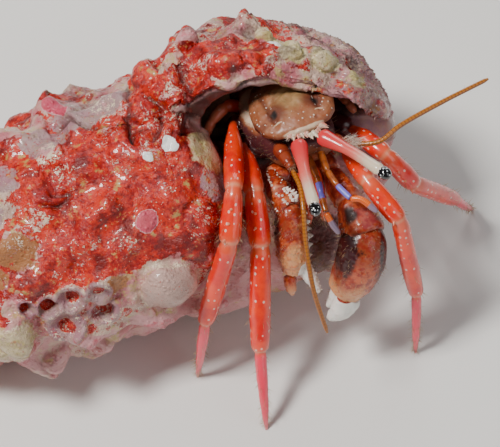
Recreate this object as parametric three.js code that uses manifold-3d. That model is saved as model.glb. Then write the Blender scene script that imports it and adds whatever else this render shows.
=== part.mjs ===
// Hermit crab in an encrusted spindle-shaped snail shell, life size, in millimetres, +Z up.
// The animal faces -Y; the shell's apex points to -X and its canal end to +X.
import * as THREE from "three";
import Module from "manifold-3d";

const wasm = await Module();
wasm.setup();
const { Manifold, Mesh } = wasm;

// ---------------------------------------------------------------- driving dimensions
const CENTRE_SHIFT = [7.2, 2.63]; // moves the finished model so its bounding box is centred in plan
const JOINT_GAP = 0.14; // clearance left where two plates meet
const FLOOR_Z = 0;

// Shell: distances along the axis run from the apex, angles from the top towards the crab.
const SHELL_AXIS_POINT = [0, 1.5, 12.8]; // a point on the shell's axis
const SHELL_AXIS_STATION = 38.3; // its distance from the apex
const SHELL_YAW = 21.0;
const SHELL_PITCH = 7.5;
const SHELL_LENGTH = 52;
const WHORL_GROWTH = 1.5; // size ratio of one whorl to the one before
const SUTURE_AT_LIP = 34; // where the last whorl joins the spire at the outer lip
const SHELL_OUTLINE = [
  [0, 0.9], [0.9, 3.0], [3, 5.0], [6, 7.0], [10, 8.8], [14, 9.6], [18, 10.1], [23, 11.1], [28, 11.4],
  [33, 12.0], [37, 12.5], [41, 12.4], [44, 11.4], [46, 10.3], [48.5, 8.4], [50.2, 6.2],
  [51.5, 3.8], [52, 1.5],
];
const LIP_ANGLE = [[0, 0], [33, 0], [36, 2], [41, 8], [44, 15], [47.5, 27], [50.4, 50], [52, 62]];
const COLUMELLA_SHARE = [
  [0, 1], [31, 1], [33, 0.88], [35, 0.66], [37, 0.34], [40, 0.17], [46, 0.2], [50, 0.5], [52, 1],
];
const BASE_RISE = [52, 118]; // degrees past the lip where the base of the body whorl swells back out
// Mouth of the shell as (distance from apex, distance from axis), outer wall first.
const MOUTH_OUTLINE = [
  [35.0, 8.6], [36.2, 10.2], [38.2, 11.0], [40.6, 11.3], [42.8, 10.7], [44.9, 10.0], [46.9, 8.8], [48.8, 6.8],
  [49.2, 4.3], [47.6, 2.7], [45.0, 1.9], [42.0, 1.8], [39.4, 2.2], [37.0, 3.6], [35.2, 6.2],
];
const CAVITY_TURN = 265; // degrees the living chamber runs back from the lip
const CAVITY_LEAD = 66; // degrees the cutter runs out past the lip
const SHELL_KNOBS = [
  // [distance from apex, angle, height, radius]
  [36.3, -27, 1.6, 1.5], [42.3, -37, 1.5, 1.6], [42.7, -17, 1.1, 1.4], [44.2, -6, 0.9, 1.4],
  [46.8, 2, 1.2, 1.4], [49.0, 14, 0.8, 1.3], [31.6, -27, 1.2, 1.6], [33.2, -17, 0.9, 1.5],
  [33.4, -60, -2.0, 3.0], [23.1, -48, 1.6, 2.2], [25.6, -62, 0.8, 2.2], [17.6, -30, 0.9, 2.0],
  [26.7, 76, 1.5, 3.2], [12.3, 80, 1.6, 2.5], [14.9, 122, 1.7, 1.8], [18.1, 126, 1.7, 1.6],
  [18.5, 92, 0.7, 1.6], [25.3, 100, 0.7, 2.0], [32.5, 120, 0.6, 2.4], [21.5, 60, 0.5, 2.2],
  [6.5, 20, 1.0, 2.0], [8.0, 150, 1.0, 2.2], [6.0, 250, 1.1, 2.2], [13.0, 310, 0.6, 2.0],
  [20.5, 285, 1.5, 2.2], [29.0, 262, 1.6, 2.4], [35.5, 300, 1.3, 2.0], [38.5, 240, 1.6, 2.4],
  [43.5, 285, 0.6, 1.8], [46.5, 320, -0.7, 2.4], [45.0, 215, 1.1, 2.0], [30.0, 225, 1.0, 2.0],
];
const REST_KNOBS = [
  [14.6, 172, 1.3, 2.6], [22.6, 204, 2.5, 2.9], [37.0, 205, 2.6, 2.9], [36.6, 163, 1.6, 2.8],
  [25.2, 168, 1.1, 2.6],
];
// Thick ridge that follows the lip: [distance from apex, angle] along its crest.
const LIP_RIDGE = { height: 0.9, half: 1.15, ends: [31.5, 34] };
const LIP_RIDGE_LINE = [
  [31, -18], [33.4, -17], [35.6, -14], [38.1, -8], [41.7, -5], [43.6, 1], [46.8, 3], [48.8, 13], [51, 36],
];
// Ledge that runs along the side under the crust.
const LEDGE = { height: 0.8, half: 1.0, angle: 86, slope: 1.7, from: 16, start: [14, 17], end: [31, 36] };
const CRUST = { height: 0.34, pitch: 5.4 }; // lumps all over the outer wall
const LIP_FLARE = 0.4; // how far the chamber widens towards the lip
// Where the legs lie over the shell.
const LEG_HOLLOW = { station: 32.5, reach: 7, angle: 82, spread: 34, depth: 3.3 };
const SHELL_STATIONS = 32;
const SHELL_COLUMNS = 38;

// Body: forward/left/up distances are measured from the middle of the shield's rear edge.
const BODY_ORIGIN = [2.3, 4.4, 20.8];
const BODY_PITCH = 14;
const SHIELD_RINGS = [
  // [forward, half width, crown height, underside depth]
  [-0.25, 1.5, 0.15, 0.35], [0.3, 2.5, 0.65, 0.6], [1.6, 3.2, 1.2, 0.75], [3.2, 3.65, 1.45, 0.8],
  [4.8, 3.75, 1.35, 0.8], [6.2, 3.35, 1.0, 0.75], [7.2, 2.5, 0.6, 0.6], [7.75, 0.9, 0.2, 0.35],
];
const THORAX_RINGS = [
  // [forward, half width, top, bottom, drift towards the apex] with heights from the body origin
  [-6.2, 1.3, -1.8, -4.2, 3.3], [-5.6, 2.0, -1.2, -4.9, 2.9], [-4.2, 2.6, -0.5, -5.5, 2.1],
  [-2.4, 3.0, -0.1, -5.9, 1.1], [-0.7, 3.2, -0.2, -6.2, 0.4], [0.6, 3.1, -0.9, -6.3, 0.1],
  [2.4, 3.2, -1.1, -6.3, 0], [4.4, 3.3, -1.1, -6.1, 0], [6.0, 2.9, -1.1, -5.4, 0],
  [7.0, 2.1, -1.3, -4.2, 0], [7.5, 1.1, -1.8, -3.3, 0],
];
const ABDOMEN_TURN = [42, 236]; // degrees back from the lip between which the abdomen runs
const ABDOMEN_HALF_WIDTH = [
  [0, 1.4], [0.06, 2.3], [0.25, 2.7], [0.55, 2.3], [0.85, 1.6], [0.96, 1.0], [1, 0.5],
];

// Limb joints, in the model frame before CENTRE_SHIFT is applied; sizes are [half width, half height].
const WALKING_LEGS = {
  leg2_right: {
    joints: [
      [1.7, -0.3, 16.4], [-0.7, -0.3, 17.5], [0.4, -6.2, 18.4], [0.9, -9.6, 15.0],
      [0.9, -15.0, 6.4], [1.5, -19.4, 0],
    ],
    sizes: [[0.8, 0.85], [0.85, 0.95], [0.95, 1.1], [1.0, 0.95], [0.85, 0.8], [0.55, 0.32]],
    bow: 0.35,
  },
  leg3_right: {
    joints: [
      [0.7, 1.6, 16.4], [-1.5, 1.4, 18.5], [-1.4, -7.6, 20.7], [-1.8, -11.0, 17.5],
      [-4.0, -13.3, 8.3], [-4.8, -13.8, 0],
    ],
    sizes: [[0.75, 0.8], [0.8, 0.9], [0.85, 0.95], [0.95, 0.9], [0.8, 0.72], [0.52, 0.3]],
    bow: 0.3,
  },
  leg2_left: {
    joints: [
      [6.9, 1.3, 17.2], [8.2, 0.0, 17.3], [10.3, -5.7, 19.3], [13.1, -8.2, 17.0],
      [15.0, -9.6, 7.3], [15.2, -11.2, 0],
    ],
    sizes: [[0.7, 0.75], [0.75, 0.85], [0.85, 0.9], [0.85, 0.85], [0.72, 0.68], [0.5, 0.3]],
    bow: 0.35,
  },
  leg3_left: {
    joints: [
      [6.6, 3.3, 17.2], [8.9, 1.7, 17.4], [12.1, -1.3, 17.2], [14.7, -1.7, 13.4],
      [19.1, 1.8, 6.0], [21.2, 4.9, 0],
    ],
    sizes: [[0.7, 0.75], [0.78, 0.85], [0.85, 0.92], [0.88, 0.88], [0.72, 0.68], [0.5, 0.3]],
    bow: 0.3,
  },
};
const WALKING_NAMES = ["coxa", "merus", "carpus", "propodus", "dactyl"];
const CHELIPEDS = {
  cheliped_left: {
    joints: [[6.4, -0.7, 16.2], [7.2, -2.6, 16.2], [8.7, -5.9, 16.6], [10.2, -8.9, 15.3]],
    sizes: [[0.9, 1.0], [1.0, 1.15], [1.35, 1.5], [2.0, 2.1]],
    palm: {
      spine: [[9.9, -9.25, 14.9], [9.7, -10.0, 13.0], [9.05, -10.4, 11.1], [8.5, -10.6, 9.8]],
      sizes: [[0, 1.6, 1.75], [0.1, 1.95, 2.1], [0.4, 2.2, 2.3], [0.75, 2.05, 2.05], [1, 1.7, 1.65]],
    },
    fixedFinger: {
      spine: [[8.5, -10.2, 10.2], [8.0, -10.3, 8.6], [7.0, -10.6, 6.9]],
      sizes: [[0, 1.2, 1.1], [0.4, 1.0, 0.95], [0.8, 0.6, 0.6], [1, 0.25, 0.25]],
    },
    dactyl: {
      spine: [[8.9, -11.5, 9.8], [8.2, -11.9, 8.4], [7.1, -12.0, 7.0]],
      sizes: [[0, 0.8, 1.0], [0.15, 1.0, 1.2], [0.5, 0.9, 1.05], [0.85, 0.55, 0.65], [1, 0.2, 0.25]],
    },
    side: [1, 0.15, -0.3],
  },
  cheliped_right: {
    joints: [[3.3, -2.0, 15.7], [1.8, -2.6, 15.8], [2.5, -5.2, 16.6], [3.6, -6.7, 16.4]],
    sizes: [[0.8, 0.9], [0.85, 0.95], [1.0, 1.1], [1.15, 1.2]],
    palm: {
      spine: [[3.45, -7.0, 16.0], [3.6, -7.8, 14.1], [3.75, -8.7, 12.3], [3.95, -9.3, 10.9]],
      sizes: [[0, 1.0, 1.1], [0.15, 1.4, 1.45], [0.5, 1.7, 1.6], [0.8, 1.6, 1.45], [1, 1.25, 1.1]],
    },
    fixedFinger: {
      spine: [[4.6, -9.2, 11.5], [5.4, -10.0, 10.5], [6.15, -10.7, 9.2]],
      sizes: [[0, 0.8, 0.75], [0.4, 0.62, 0.6], [0.8, 0.42, 0.4], [1, 0.18, 0.18]],
    },
    dactyl: {
      spine: [[3.5, -9.8, 10.6], [3.65, -10.4, 9.8], [3.8, -10.7, 9.0]],
      sizes: [[0, 0.5, 0.5], [0.2, 0.62, 0.6], [0.7, 0.45, 0.45], [1, 0.2, 0.2]],
    },
    side: [1, 0.25, -0.1],
  },
};
const CHELIPED_NAMES = ["merus_base", "merus", "carpus"];

const SMALL_LEGS = {
  leg4_right: {
    spine: [[-0.6, 3.4, 18.0], [-2.0, 2.9, 18.8], [-3.3, 1.7, 18.4], [-4.1, 0.6, 17.2]],
    half: 0.62,
  },
  leg4_left: { spine: [[7.0, 5.0, 18.9], [8.0, 4.6, 18.6], [8.8, 3.6, 18.4], [9.4, 2.9, 17.9]], half: 0.55 },
  leg5_right: {
    spine: [[-0.9, 5.5, 18.2], [-2.0, 4.9, 19.2], [-2.9, 4.1, 19.6], [-3.1, 3.3, 19.6]],
    half: 0.4,
  },
  leg5_left: { spine: [[5.8, 7.2, 19.0], [7.2, 7.2, 19.4], [7.8, 6.2, 20.2]], half: 0.4 },
};
const EYESTALKS = {
  right: { base: [4.2, -3.25, 21.9], tip: [5.5, -10.5, 22.3], bend: [-0.12, 0, 0.1] },
  left: { base: [6.0, -2.75, 22.1], tip: [11.35, -7.35, 23.0], bend: [0.1, 0.1, 0.1] },
};
const STALK_HALF_WIDTH = [
  [0, 0.5], [0.03, 0.8], [0.12, 0.74], [0.4, 0.52], [0.75, 0.5], [0.94, 0.55], [1, 0.42],
];
const CORNEA_LENGTH = 1.15;
const CORNEA_HALF_WIDTH = 0.57;
const ANTENNULES = {
  right: {
    peduncle: [[5.1, -3.3, 19.6], [5.9, -5.2, 18.9], [6.3, -7.0, 18.6], [6.6, -8.2, 18.3]],
    flagellum: [[6.65, -8.4, 18.3], [7.2, -9.1, 17.6], [7.8, -9.6, 16.9]],
  },
  left: {
    peduncle: [[6.2, -3.0, 19.8], [6.8, -4.9, 19.7], [7.6, -6.4, 19.7], [8.7, -7.7, 19.6]],
    flagellum: [[8.75, -7.85, 19.65], [9.6, -8.0, 19.8], [11.05, -8.9, 19.2]],
  },
};
const ANTENNULE_HALF_WIDTH = [[0, 0.34], [0.1, 0.42], [0.6, 0.36], [1, 0.3]];
const ANTENNAE = {
  right: {
    peduncle: [[2.5, -2.5, 20.0], [3.0, -3.9, 20.6], [3.6, -5.4, 20.9]],
    flagellum: [
      [3.7, -5.7, 20.9], [4.35, -7.6, 21.0], [4.6, -9.6, 20.6], [4.8, -11.6, 18.6],
      [5.5, -13.9, 14.8], [6.8, -15.7, 10.4],
    ],
  },
  left: {
    peduncle: [[7.1, -2.0, 20.4], [8.2, -2.9, 21.0], [9.0, -3.2, 21.3]],
    flagellum: [
      [9.3, -3.25, 21.4], [11.3, -3.3, 21.9], [13.1, -2.1, 22.6], [16.6, -0.1, 23.2],
      [20.9, 2.2, 23.7],
    ],
  },
};
const ANTENNA_BASE_HALF_WIDTH = [[0, 0.5], [0.2, 0.72], [0.6, 0.6], [1, 0.36]];
const FLAGELLUM_HALF_WIDTH = 0.27;
const MAXILLIPEDS = {
  right: [[4.5, -3.2, 17.2], [4.9, -4.7, 16.2], [5.2, -5.6, 14.8], [5.3, -5.9, 13.2]],
  left: [[5.6, -2.9, 17.3], [6.1, -4.3, 16.3], [6.5, -5.1, 14.6], [6.6, -5.4, 13.0]],
};

const COLOURS = {
  shell: 0xb8564a, shield: 0xb99a7c, body: 0x8a6a62, abdomen: 0xc99a8c, leg: 0xd8331f, dactyl: 0xe27886,
  claw: 0x6e3426, finger: 0xe9e4dc, eyestalk: 0xe07a72, eye: 0x0b0b0d, feeler: 0xb4771c, mouth: 0x7c4a3c,
};

// ---------------------------------------------------------------- small helpers
const vec = (p) => new THREE.Vector3(...p);
const radians = THREE.MathUtils.degToRad;

/** Reads a table of [x, y] rows at x, easing between its rows. */
function lookup(table, x) {
  if (x <= table[0][0]) return table[0][1];
  for (let i = 1; i < table.length; i++) {
    const [x1, y1] = table[i];
    if (x > x1) continue;
    const [x0, y0] = table[i - 1];
    return y0 + (y1 - y0) * ((x - x0) / (x1 - x0));
  }
  return table[table.length - 1][1];
}

/** Turns positions and triangles into a closed solid. */
function solid(positions, triangles) {
  const mesh = new Mesh({
    numProp: 3,
    vertProperties: new Float32Array(positions.flatMap((p) => [p.x, p.y, p.z])),
    triVerts: new Uint32Array(triangles.flat()),
  });
  return Manifold.ofMesh(mesh);
}

/** Skins a row of rings, each with the same number of points, and closes both ends on their middles. */
function skin(rings) {
  const count = rings[0].length;
  const positions = rings.flat();
  const middle = (ring) => ring.reduce((sum, p) => sum.add(p), new THREE.Vector3()).divideScalar(count);
  const first = positions.push(middle(rings[0])) - 1;
  const last = positions.push(middle(rings[rings.length - 1])) - 1;
  const end = (rings.length - 1) * count;
  const triangles = [];
  for (let j = 0; j < count; j++) {
    const k = (j + 1) % count;
    triangles.push([first, k, j], [last, end + j, end + k]);
    for (let i = 0; i + 1 < rings.length; i++) {
      const a = i * count;
      const b = a + count;
      triangles.push([a + j, a + k, b + j], [a + k, b + k, b + j]);
    }
  }
  const body = solid(positions, triangles);
  if (body.volume() > 0) return body;
  return solid(positions, triangles.map(([a, b, c]) => [a, c, b]));
}

/** Sweeps an oval along a spine; sizes are [share of length, half width, half height] rows. */
function sweep(spine, sizes, { up = [0, 0, 1], sides = 10, grow = 0 } = {}) {
  const curve = spine.length > 2
    ? new THREE.CatmullRomCurve3(spine.map(vec), false, "centripetal")
    : new THREE.LineCurve3(...spine.map(vec));
  const rings = sizes.map(([share, halfWidth, halfHeight = halfWidth], row) => {
    const centre = curve.getPointAt(share);
    const along = curve.getTangentAt(share).normalize();
    if (row === 0) centre.addScaledVector(along, -grow);
    if (row === sizes.length - 1) centre.addScaledVector(along, grow);
    const side = new THREE.Vector3().crossVectors(along, vec(up)).normalize();
    const top = new THREE.Vector3().crossVectors(side, along).normalize();
    return Array.from({ length: sides }, (_, j) => {
      const turn = (2 * Math.PI * j) / sides;
      return centre.clone()
        .addScaledVector(side, Math.cos(turn) * (halfWidth + grow))
        .addScaledVector(top, Math.sin(turn) * (halfHeight + grow));
    });
  });
  return skin(rings);
}

/** Adds a slight swell and rounded ends to a plate that runs between two half sizes. */
function plateSizes([w0, h0], [w1, h1], swell = 0.08) {
  const shares = [[0, 0.7], [0.06, 0.95], [0.65, 1 + swell], [0.95, 0.96], [1, 0.7]];
  return shares.map(([share, full]) => [
    share,
    THREE.MathUtils.lerp(w0, w1, share) * full,
    THREE.MathUtils.lerp(h0, h1, share) * full,
  ]);
}

// ---------------------------------------------------------------- shell
const axis = new THREE.Vector3(
  Math.cos(radians(SHELL_PITCH)) * Math.cos(radians(SHELL_YAW)),
  Math.cos(radians(SHELL_PITCH)) * Math.sin(radians(SHELL_YAW)),
  Math.sin(radians(SHELL_PITCH)),
);
const axisFront = new THREE.Vector3().crossVectors(axis, new THREE.Vector3(0, 0, 1)).normalize();
const axisTop = new THREE.Vector3().crossVectors(axisFront, axis).normalize();

/** Point of the shell: distance from the apex, degrees past the top, distance from the axis. */
function shellPoint(station, angle, radius) {
  return vec(SHELL_AXIS_POINT)
    .addScaledVector(axis, station - SHELL_AXIS_STATION)
    .addScaledVector(axisTop, radius * Math.cos(radians(angle)))
    .addScaledVector(axisFront, radius * Math.sin(radians(angle)));
}

/** Swelling of each whorl between its sutures, as a share of the outline. */
function whorlSwell(station, angle, pastLip) {
  const turns = (pastLip - 360) / 360;
  const lastSuture = SUTURE_AT_LIP * WHORL_GROWTH ** turns;
  const steps = Math.log(lastSuture / Math.max(station, 1)) / Math.log(WHORL_GROWTH);
  const whorlsBack = Math.max(0, Math.ceil(steps));
  const suture = lastSuture / WHORL_GROWTH ** whorlsBack;
  const next = whorlsBack > 0 ? suture * WHORL_GROWTH : SHELL_LENGTH;
  const share = Math.max(0, station - suture) / (Math.min(next, suture * WHORL_GROWTH) - suture);
  return 0.05 * Math.sin(Math.PI * Math.min(1, share * 1.6)) - 0.045 * Math.exp(-((share / 0.12) ** 2));
}

/** Height of the encrusting knobs over a spot on the shell. */
function knobHeight(station, angle, radius) {
  let height = 0;
  for (const [knobStation, knobAngle, knob, spread] of [...SHELL_KNOBS, ...REST_KNOBS]) {
    const across = aroundShell(angle, knobAngle, radius);
    const distance = Math.hypot(station - knobStation, across) / spread;
    height += knob * Math.exp(-(distance ** 2) * 1.1);
  }
  return height;
}

/** Signed angle between two directions round the shell, as a distance at a radius. */
function aroundShell(angle, from, radius) {
  return radians(((angle - from + 540) % 360) - 180) * radius;
}

/** Height of the lip's ridge and of the ledge under the crust. */
function ridgeHeight(station, angle, radius) {
  const { smoothstep } = THREE.MathUtils;
  const behind = aroundShell(angle, lookup(LIP_RIDGE_LINE, station), radius);
  const crest = LIP_RIDGE.height * smoothstep(station, ...LIP_RIDGE.ends)
    * Math.exp(-((behind / LIP_RIDGE.half) ** 2));
  const under = aroundShell(angle, LEDGE.angle + LEDGE.slope * (station - LEDGE.from), radius);
  const span = smoothstep(station, ...LEDGE.start) * (1 - smoothstep(station, ...LEDGE.end));
  return crest + LEDGE.height * span * Math.exp(-((under / LEDGE.half) ** 2));
}

/** Rounded lumps of the crust, between about -1.5 and 1.5. */
function crustLumps({ x, y, z }) {
  const k = (2 * Math.PI) / CRUST.pitch;
  const u = k * (x + 0.7 * Math.sin(0.41 * y + 1.3));
  const v = k * (y + 0.7 * Math.sin(0.37 * z + 0.4));
  const w = k * (z + 0.7 * Math.sin(0.45 * x + 2.1));
  return Math.sin(u) * Math.cos(v) + Math.sin(v) * Math.cos(w) + Math.sin(w) * Math.cos(u);
}

/** Outer wall of the shell; pastLip runs 0-360 degrees on from the lip's edge. */
function shellRadius(station, pastLip) {
  const outline = lookup(SHELL_OUTLINE, station);
  const angle = pastLip + lookup(LIP_ANGLE, station);
  const share = lookup(COLUMELLA_SHARE, station);
  const rise = THREE.MathUtils.smoothstep(pastLip, ...BASE_RISE);
  const radius = outline * (share + (1 - share) * rise) * (1 + whorlSwell(station, angle, pastLip) * rise);
  const underLegs = Math.exp(-(((station - LEG_HOLLOW.station) / LEG_HOLLOW.reach) ** 2))
    * Math.exp(-(((angle - LEG_HOLLOW.angle) / LEG_HOLLOW.spread) ** 2));
  const base = radius - LEG_HOLLOW.depth * underLegs * rise;
  const cover = station > SUTURE_AT_LIP ? rise : 1;
  const lumps = CRUST.height * (1 - underLegs) * crustLumps(shellPoint(station, angle, base));
  return base + (knobHeight(station, angle, radius) + ridgeHeight(station, angle, radius) + lumps) * cover;
}

function shellWall() {
  const rings = [];
  for (let i = 0; i < SHELL_STATIONS; i++) {
    const share = i / (SHELL_STATIONS - 1);
    const station = SHELL_LENGTH * (share + 0.055 * Math.sin(2 * Math.PI * (share - 0.5)));
    rings.push(Array.from({ length: SHELL_COLUMNS }, (_, j) => {
      const pastLip = j === 0 ? 0.5 : 3 + (354.5 * (j - 1)) / (SHELL_COLUMNS - 2);
      return shellPoint(station, pastLip + lookup(LIP_ANGLE, station), shellRadius(station, pastLip));
    }));
  }
  return skin(rings);
}

/** Section of the living chamber, turned back from the lip and scaled towards the apex. */
function chamberRing(turn, inset = 0) {
  const scale = WHORL_GROWTH ** (Math.min(0, turn) / 360);
  const centre = [42.2, 6.4];
  return MOUTH_OUTLINE.map(([station, radius]) => {
    const away = new THREE.Vector2(station - centre[0], radius - centre[1]);
    away.setLength(Math.max(0.2, away.length() - inset));
    const outer = 1 - THREE.MathUtils.smoothstep(station, 43, 46);
    const flare = LIP_FLARE * THREE.MathUtils.smoothstep(turn, -12, 6) * outer;
    const lead = Math.max(0, turn) * 0.012 + flare;
    const spot = [centre[0] + away.x, centre[1] + away.y + lead];
    return shellPoint(spot[0] * scale, turn + 6, spot[1] * scale);
  });
}

function shellCavity() {
  const rings = [];
  for (let turn = CAVITY_LEAD; turn > -CAVITY_TURN; turn -= 16.5) rings.push(chamberRing(turn));
  return skin(rings);
}

const overFloor = skin([[-80, -80], [80, -80], [80, 80], [-80, 80]].map(([x, y]) => [
  new THREE.Vector3(x, y, FLOOR_Z), new THREE.Vector3(x, y, 90),
]).reduce((rings, [low, high]) => [[...rings[0], low], [...rings[1], high]], [[], []]));

const shell = shellWall().subtract(shellCavity()).intersect(overFloor);

// ---------------------------------------------------------------- body
const forward = axisFront.clone().multiplyScalar(Math.cos(radians(BODY_PITCH)))
  .addScaledVector(axisTop, Math.sin(radians(BODY_PITCH)));
const left = axis.clone();
const upward = new THREE.Vector3().crossVectors(forward, left).normalize();

function bodyPoint(ahead, toLeft, above) {
  return vec(BODY_ORIGIN)
    .addScaledVector(forward, ahead)
    .addScaledVector(left, toLeft)
    .addScaledVector(upward, above);
}

function shieldPlate(grow = 0) {
  const rings = SHIELD_RINGS.map(([ahead, halfWidth, crown, depth], row) => {
    const reach = row === 0 ? -grow : row === SHIELD_RINGS.length - 1 ? grow : 0;
    const across = [-1, -0.86, -0.5, 0, 0.5, 0.86, 1];
    const over = (x) => crown * (1 - x * x) ** 0.6 + grow * 0.7;
    const top = across.map((x) => bodyPoint(ahead + reach, x * (halfWidth + grow), over(x)));
    const under = across.slice(1, -1).reverse()
      .map((x) => bodyPoint(ahead + reach, x * (halfWidth + grow), -depth * (1 - 0.4 * x * x) - grow));
    return [...top, ...under];
  });
  return skin(rings);
}

function thorax(grow = 0) {
  const rings = THORAX_RINGS.map(([ahead, halfWidth, top, bottom, drift], row) => {
    const reach = row === 0 ? -grow : row === THORAX_RINGS.length - 1 ? grow : 0;
    const middle = (top + bottom) / 2;
    const half = (top - bottom) / 2 + grow;
    return Array.from({ length: 12 }, (_, j) => {
      const turn = (2 * Math.PI * (j + 0.5)) / 12;
      const squared = (x) => Math.sign(x) * Math.abs(x) ** 0.8;
      const across = squared(Math.cos(turn)) * (halfWidth + grow) - drift;
      return bodyPoint(ahead + reach, across, middle + squared(Math.sin(turn)) * half);
    });
  });
  return skin(rings);
}

function abdomen() {
  const [start, end] = ABDOMEN_TURN;
  const rings = ABDOMEN_HALF_WIDTH.map(([share, halfWidth]) => {
    const turn = -THREE.MathUtils.lerp(start, end, share);
    const scale = WHORL_GROWTH ** (turn / 360);
    return Array.from({ length: 12 }, (_, j) => {
      const spin = (2 * Math.PI * j) / 12;
      const station = 41.5 * scale + Math.cos(spin) * halfWidth * 1.15;
      return shellPoint(station, turn + 6, 6.6 * scale + Math.sin(spin) * halfWidth);
    });
  });
  return skin(rings);
}

// ---------------------------------------------------------------- limbs
/** Jointed plates between a list of joints: each plate is hollowed to seat the one before it. */
function plateChain({ joints, sizes, bow = 0 }, seat) {
  const plates = [];
  const seats = [];
  let before = seat;
  for (let i = 0; i + 1 < joints.length; i++) {
    const from = vec(joints[i]);
    const to = vec(joints[i + 1]);
    const last = i + 2 === joints.length;
    const middle = from.clone().lerp(to, 0.5);
    if (last && bow) middle.add(new THREE.Vector3(0, -bow, bow * 0.6));
    const spine = [from, middle, to].map((p) => p.toArray());
    const up = [0.15, -0.75, 0.6];
    const tip = last && bow ? [[0, 0.7], [0.06, 0.95], [0.35, 1], [0.75, 0.85], [1, 0.85]] : null;
    const rows = tip
      ? tip.map(([share, full]) => [
        share,
        THREE.MathUtils.lerp(sizes[i][0] * 0.68, sizes[i + 1][0] * 0.6, share) * full,
        THREE.MathUtils.lerp(sizes[i][1] * 0.68, sizes[i + 1][1], share) * full,
      ])
      : plateSizes(sizes[i], sizes[i + 1]);
    let plate = sweep(spine, rows, { up, sides: 7 });
    if (before) plate = plate.subtract(before);
    plates.push(plate);
    before = sweep(spine, rows, { up, sides: 7, grow: JOINT_GAP });
    seats.push(before);
  }
  return { plates, seats, before };
}

/** Straight or curved limb piece with rounded ends from a list of half widths along it. */
function rod(spine, table, sides = 7, grow = 0) {
  const sizes = table.map(([share, half]) => [share, half, half]);
  return sweep(spine, sizes, { up: [0.1, 0.35, 0.9], sides, grow });
}

const model = new THREE.Group();
model.name = "hermit_crab";
const placed = [];

/** Adds a named node to the model with its own material. */
function place(name, body, colour, roughness = 0.45) {
  const data = body.getMesh();
  const geometry = new THREE.BufferGeometry();
  geometry.setAttribute("position", new THREE.BufferAttribute(new Float32Array(data.vertProperties), 3));
  geometry.setIndex(new THREE.BufferAttribute(new Uint32Array(data.triVerts), 1));
  geometry.computeVertexNormals();
  const mesh = new THREE.Mesh(geometry, new THREE.MeshStandardMaterial({ color: colour, roughness }));
  mesh.name = name;
  model.add(mesh);
  placed.push([name, body]);
}

const shieldSeat = shieldPlate(JOINT_GAP);
const trunk = thorax().subtract(shieldSeat);
const trunkSeat = thorax(JOINT_GAP);
const bedded = [trunkSeat, shieldSeat]; // what the shell's mouth is cleared for

place("carapace_shield", shieldPlate(), COLOURS.shield);
place("cephalothorax", trunk, COLOURS.body);
place("abdomen", abdomen().subtract(trunkSeat), COLOURS.abdomen);

for (const [leg, limb] of Object.entries(WALKING_LEGS)) {
  const { plates, seats } = plateChain(limb, trunkSeat);
  bedded.push(seats[0]);
  plates.forEach((plate, i) => {
    const body = i === plates.length - 1 ? plate.intersect(overFloor) : plate;
    place(`${leg}_${WALKING_NAMES[i]}`, body, i === 4 ? COLOURS.dactyl : COLOURS.leg);
  });
}

for (const [claw, { joints, sizes, palm, fixedFinger, dactyl, side }] of Object.entries(CHELIPEDS)) {
  const { plates, before } = plateChain({ joints, sizes }, trunkSeat);
  plates.forEach((plate, i) => place(`${claw}_${CHELIPED_NAMES[i]}`, plate, COLOURS.claw));
  const options = { up: side, sides: 10 };
  const hand = sweep(palm.spine, palm.sizes, options)
    .add(sweep(fixedFinger.spine, fixedFinger.sizes, options));
  const seat = sweep(palm.spine, palm.sizes, { ...options, grow: JOINT_GAP })
    .add(sweep(fixedFinger.spine, fixedFinger.sizes, { ...options, grow: JOINT_GAP }));
  place(`${claw}_palm`, hand.subtract(before), COLOURS.claw);
  place(`${claw}_dactyl`, sweep(dactyl.spine, dactyl.sizes, options).subtract(seat), COLOURS.finger);
}

for (const [leg, { spine, half }] of Object.entries(SMALL_LEGS)) {
  const table = [[0, half * 0.8], [0.1, half], [0.5, half * 0.85], [0.85, half * 0.7], [1, half * 0.4]];
  place(leg, rod(spine, table).subtract(trunkSeat), COLOURS.leg);
  bedded.push(rod(spine, table, 7, JOINT_GAP));
}

for (const [side, { base, tip, bend }] of Object.entries(EYESTALKS)) {
  const middle = vec(base).lerp(vec(tip), 0.5).add(vec(bend)).toArray();
  const spine = [base, middle, tip];
  const stalk = rod(spine, STALK_HALF_WIDTH, 9);
  place(`eyestalk_${side}`, stalk.subtract(trunkSeat).subtract(shieldSeat), COLOURS.eyestalk, 0.25);
  const aim = vec(tip).sub(vec(middle)).normalize();
  const start = vec(tip).addScaledVector(aim, -0.18);
  const end = start.clone().addScaledVector(aim, CORNEA_LENGTH);
  const dome = [[0, 0.6], [0.12, 0.9], [0.4, 1], [0.7, 0.86], [0.9, 0.52], [1, 0.18]]
    .map(([share, full]) => [share, full * CORNEA_HALF_WIDTH]);
  const cornea = rod([start.toArray(), end.toArray()], dome, 9);
  place(`eye_${side}`, cornea.subtract(rod(spine, STALK_HALF_WIDTH, 9, 0.06)), COLOURS.eye, 0.08);
}

for (const [side, { peduncle, flagellum }] of Object.entries(ANTENNULES)) {
  const ends = [[0, 0.18], [0.05, 0.27], [0.6, 0.3], [0.92, 0.26], [1, 0.16]];
  const stem = rod(peduncle, ANTENNULE_HALF_WIDTH);
  place(`antennule_${side}_peduncle`, stem.subtract(trunkSeat), COLOURS.feeler);
  const seat = rod(peduncle, ANTENNULE_HALF_WIDTH, 7, JOINT_GAP);
  place(`antennule_${side}_flagellum`, rod(flagellum, ends).subtract(seat), COLOURS.feeler);
}

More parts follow.
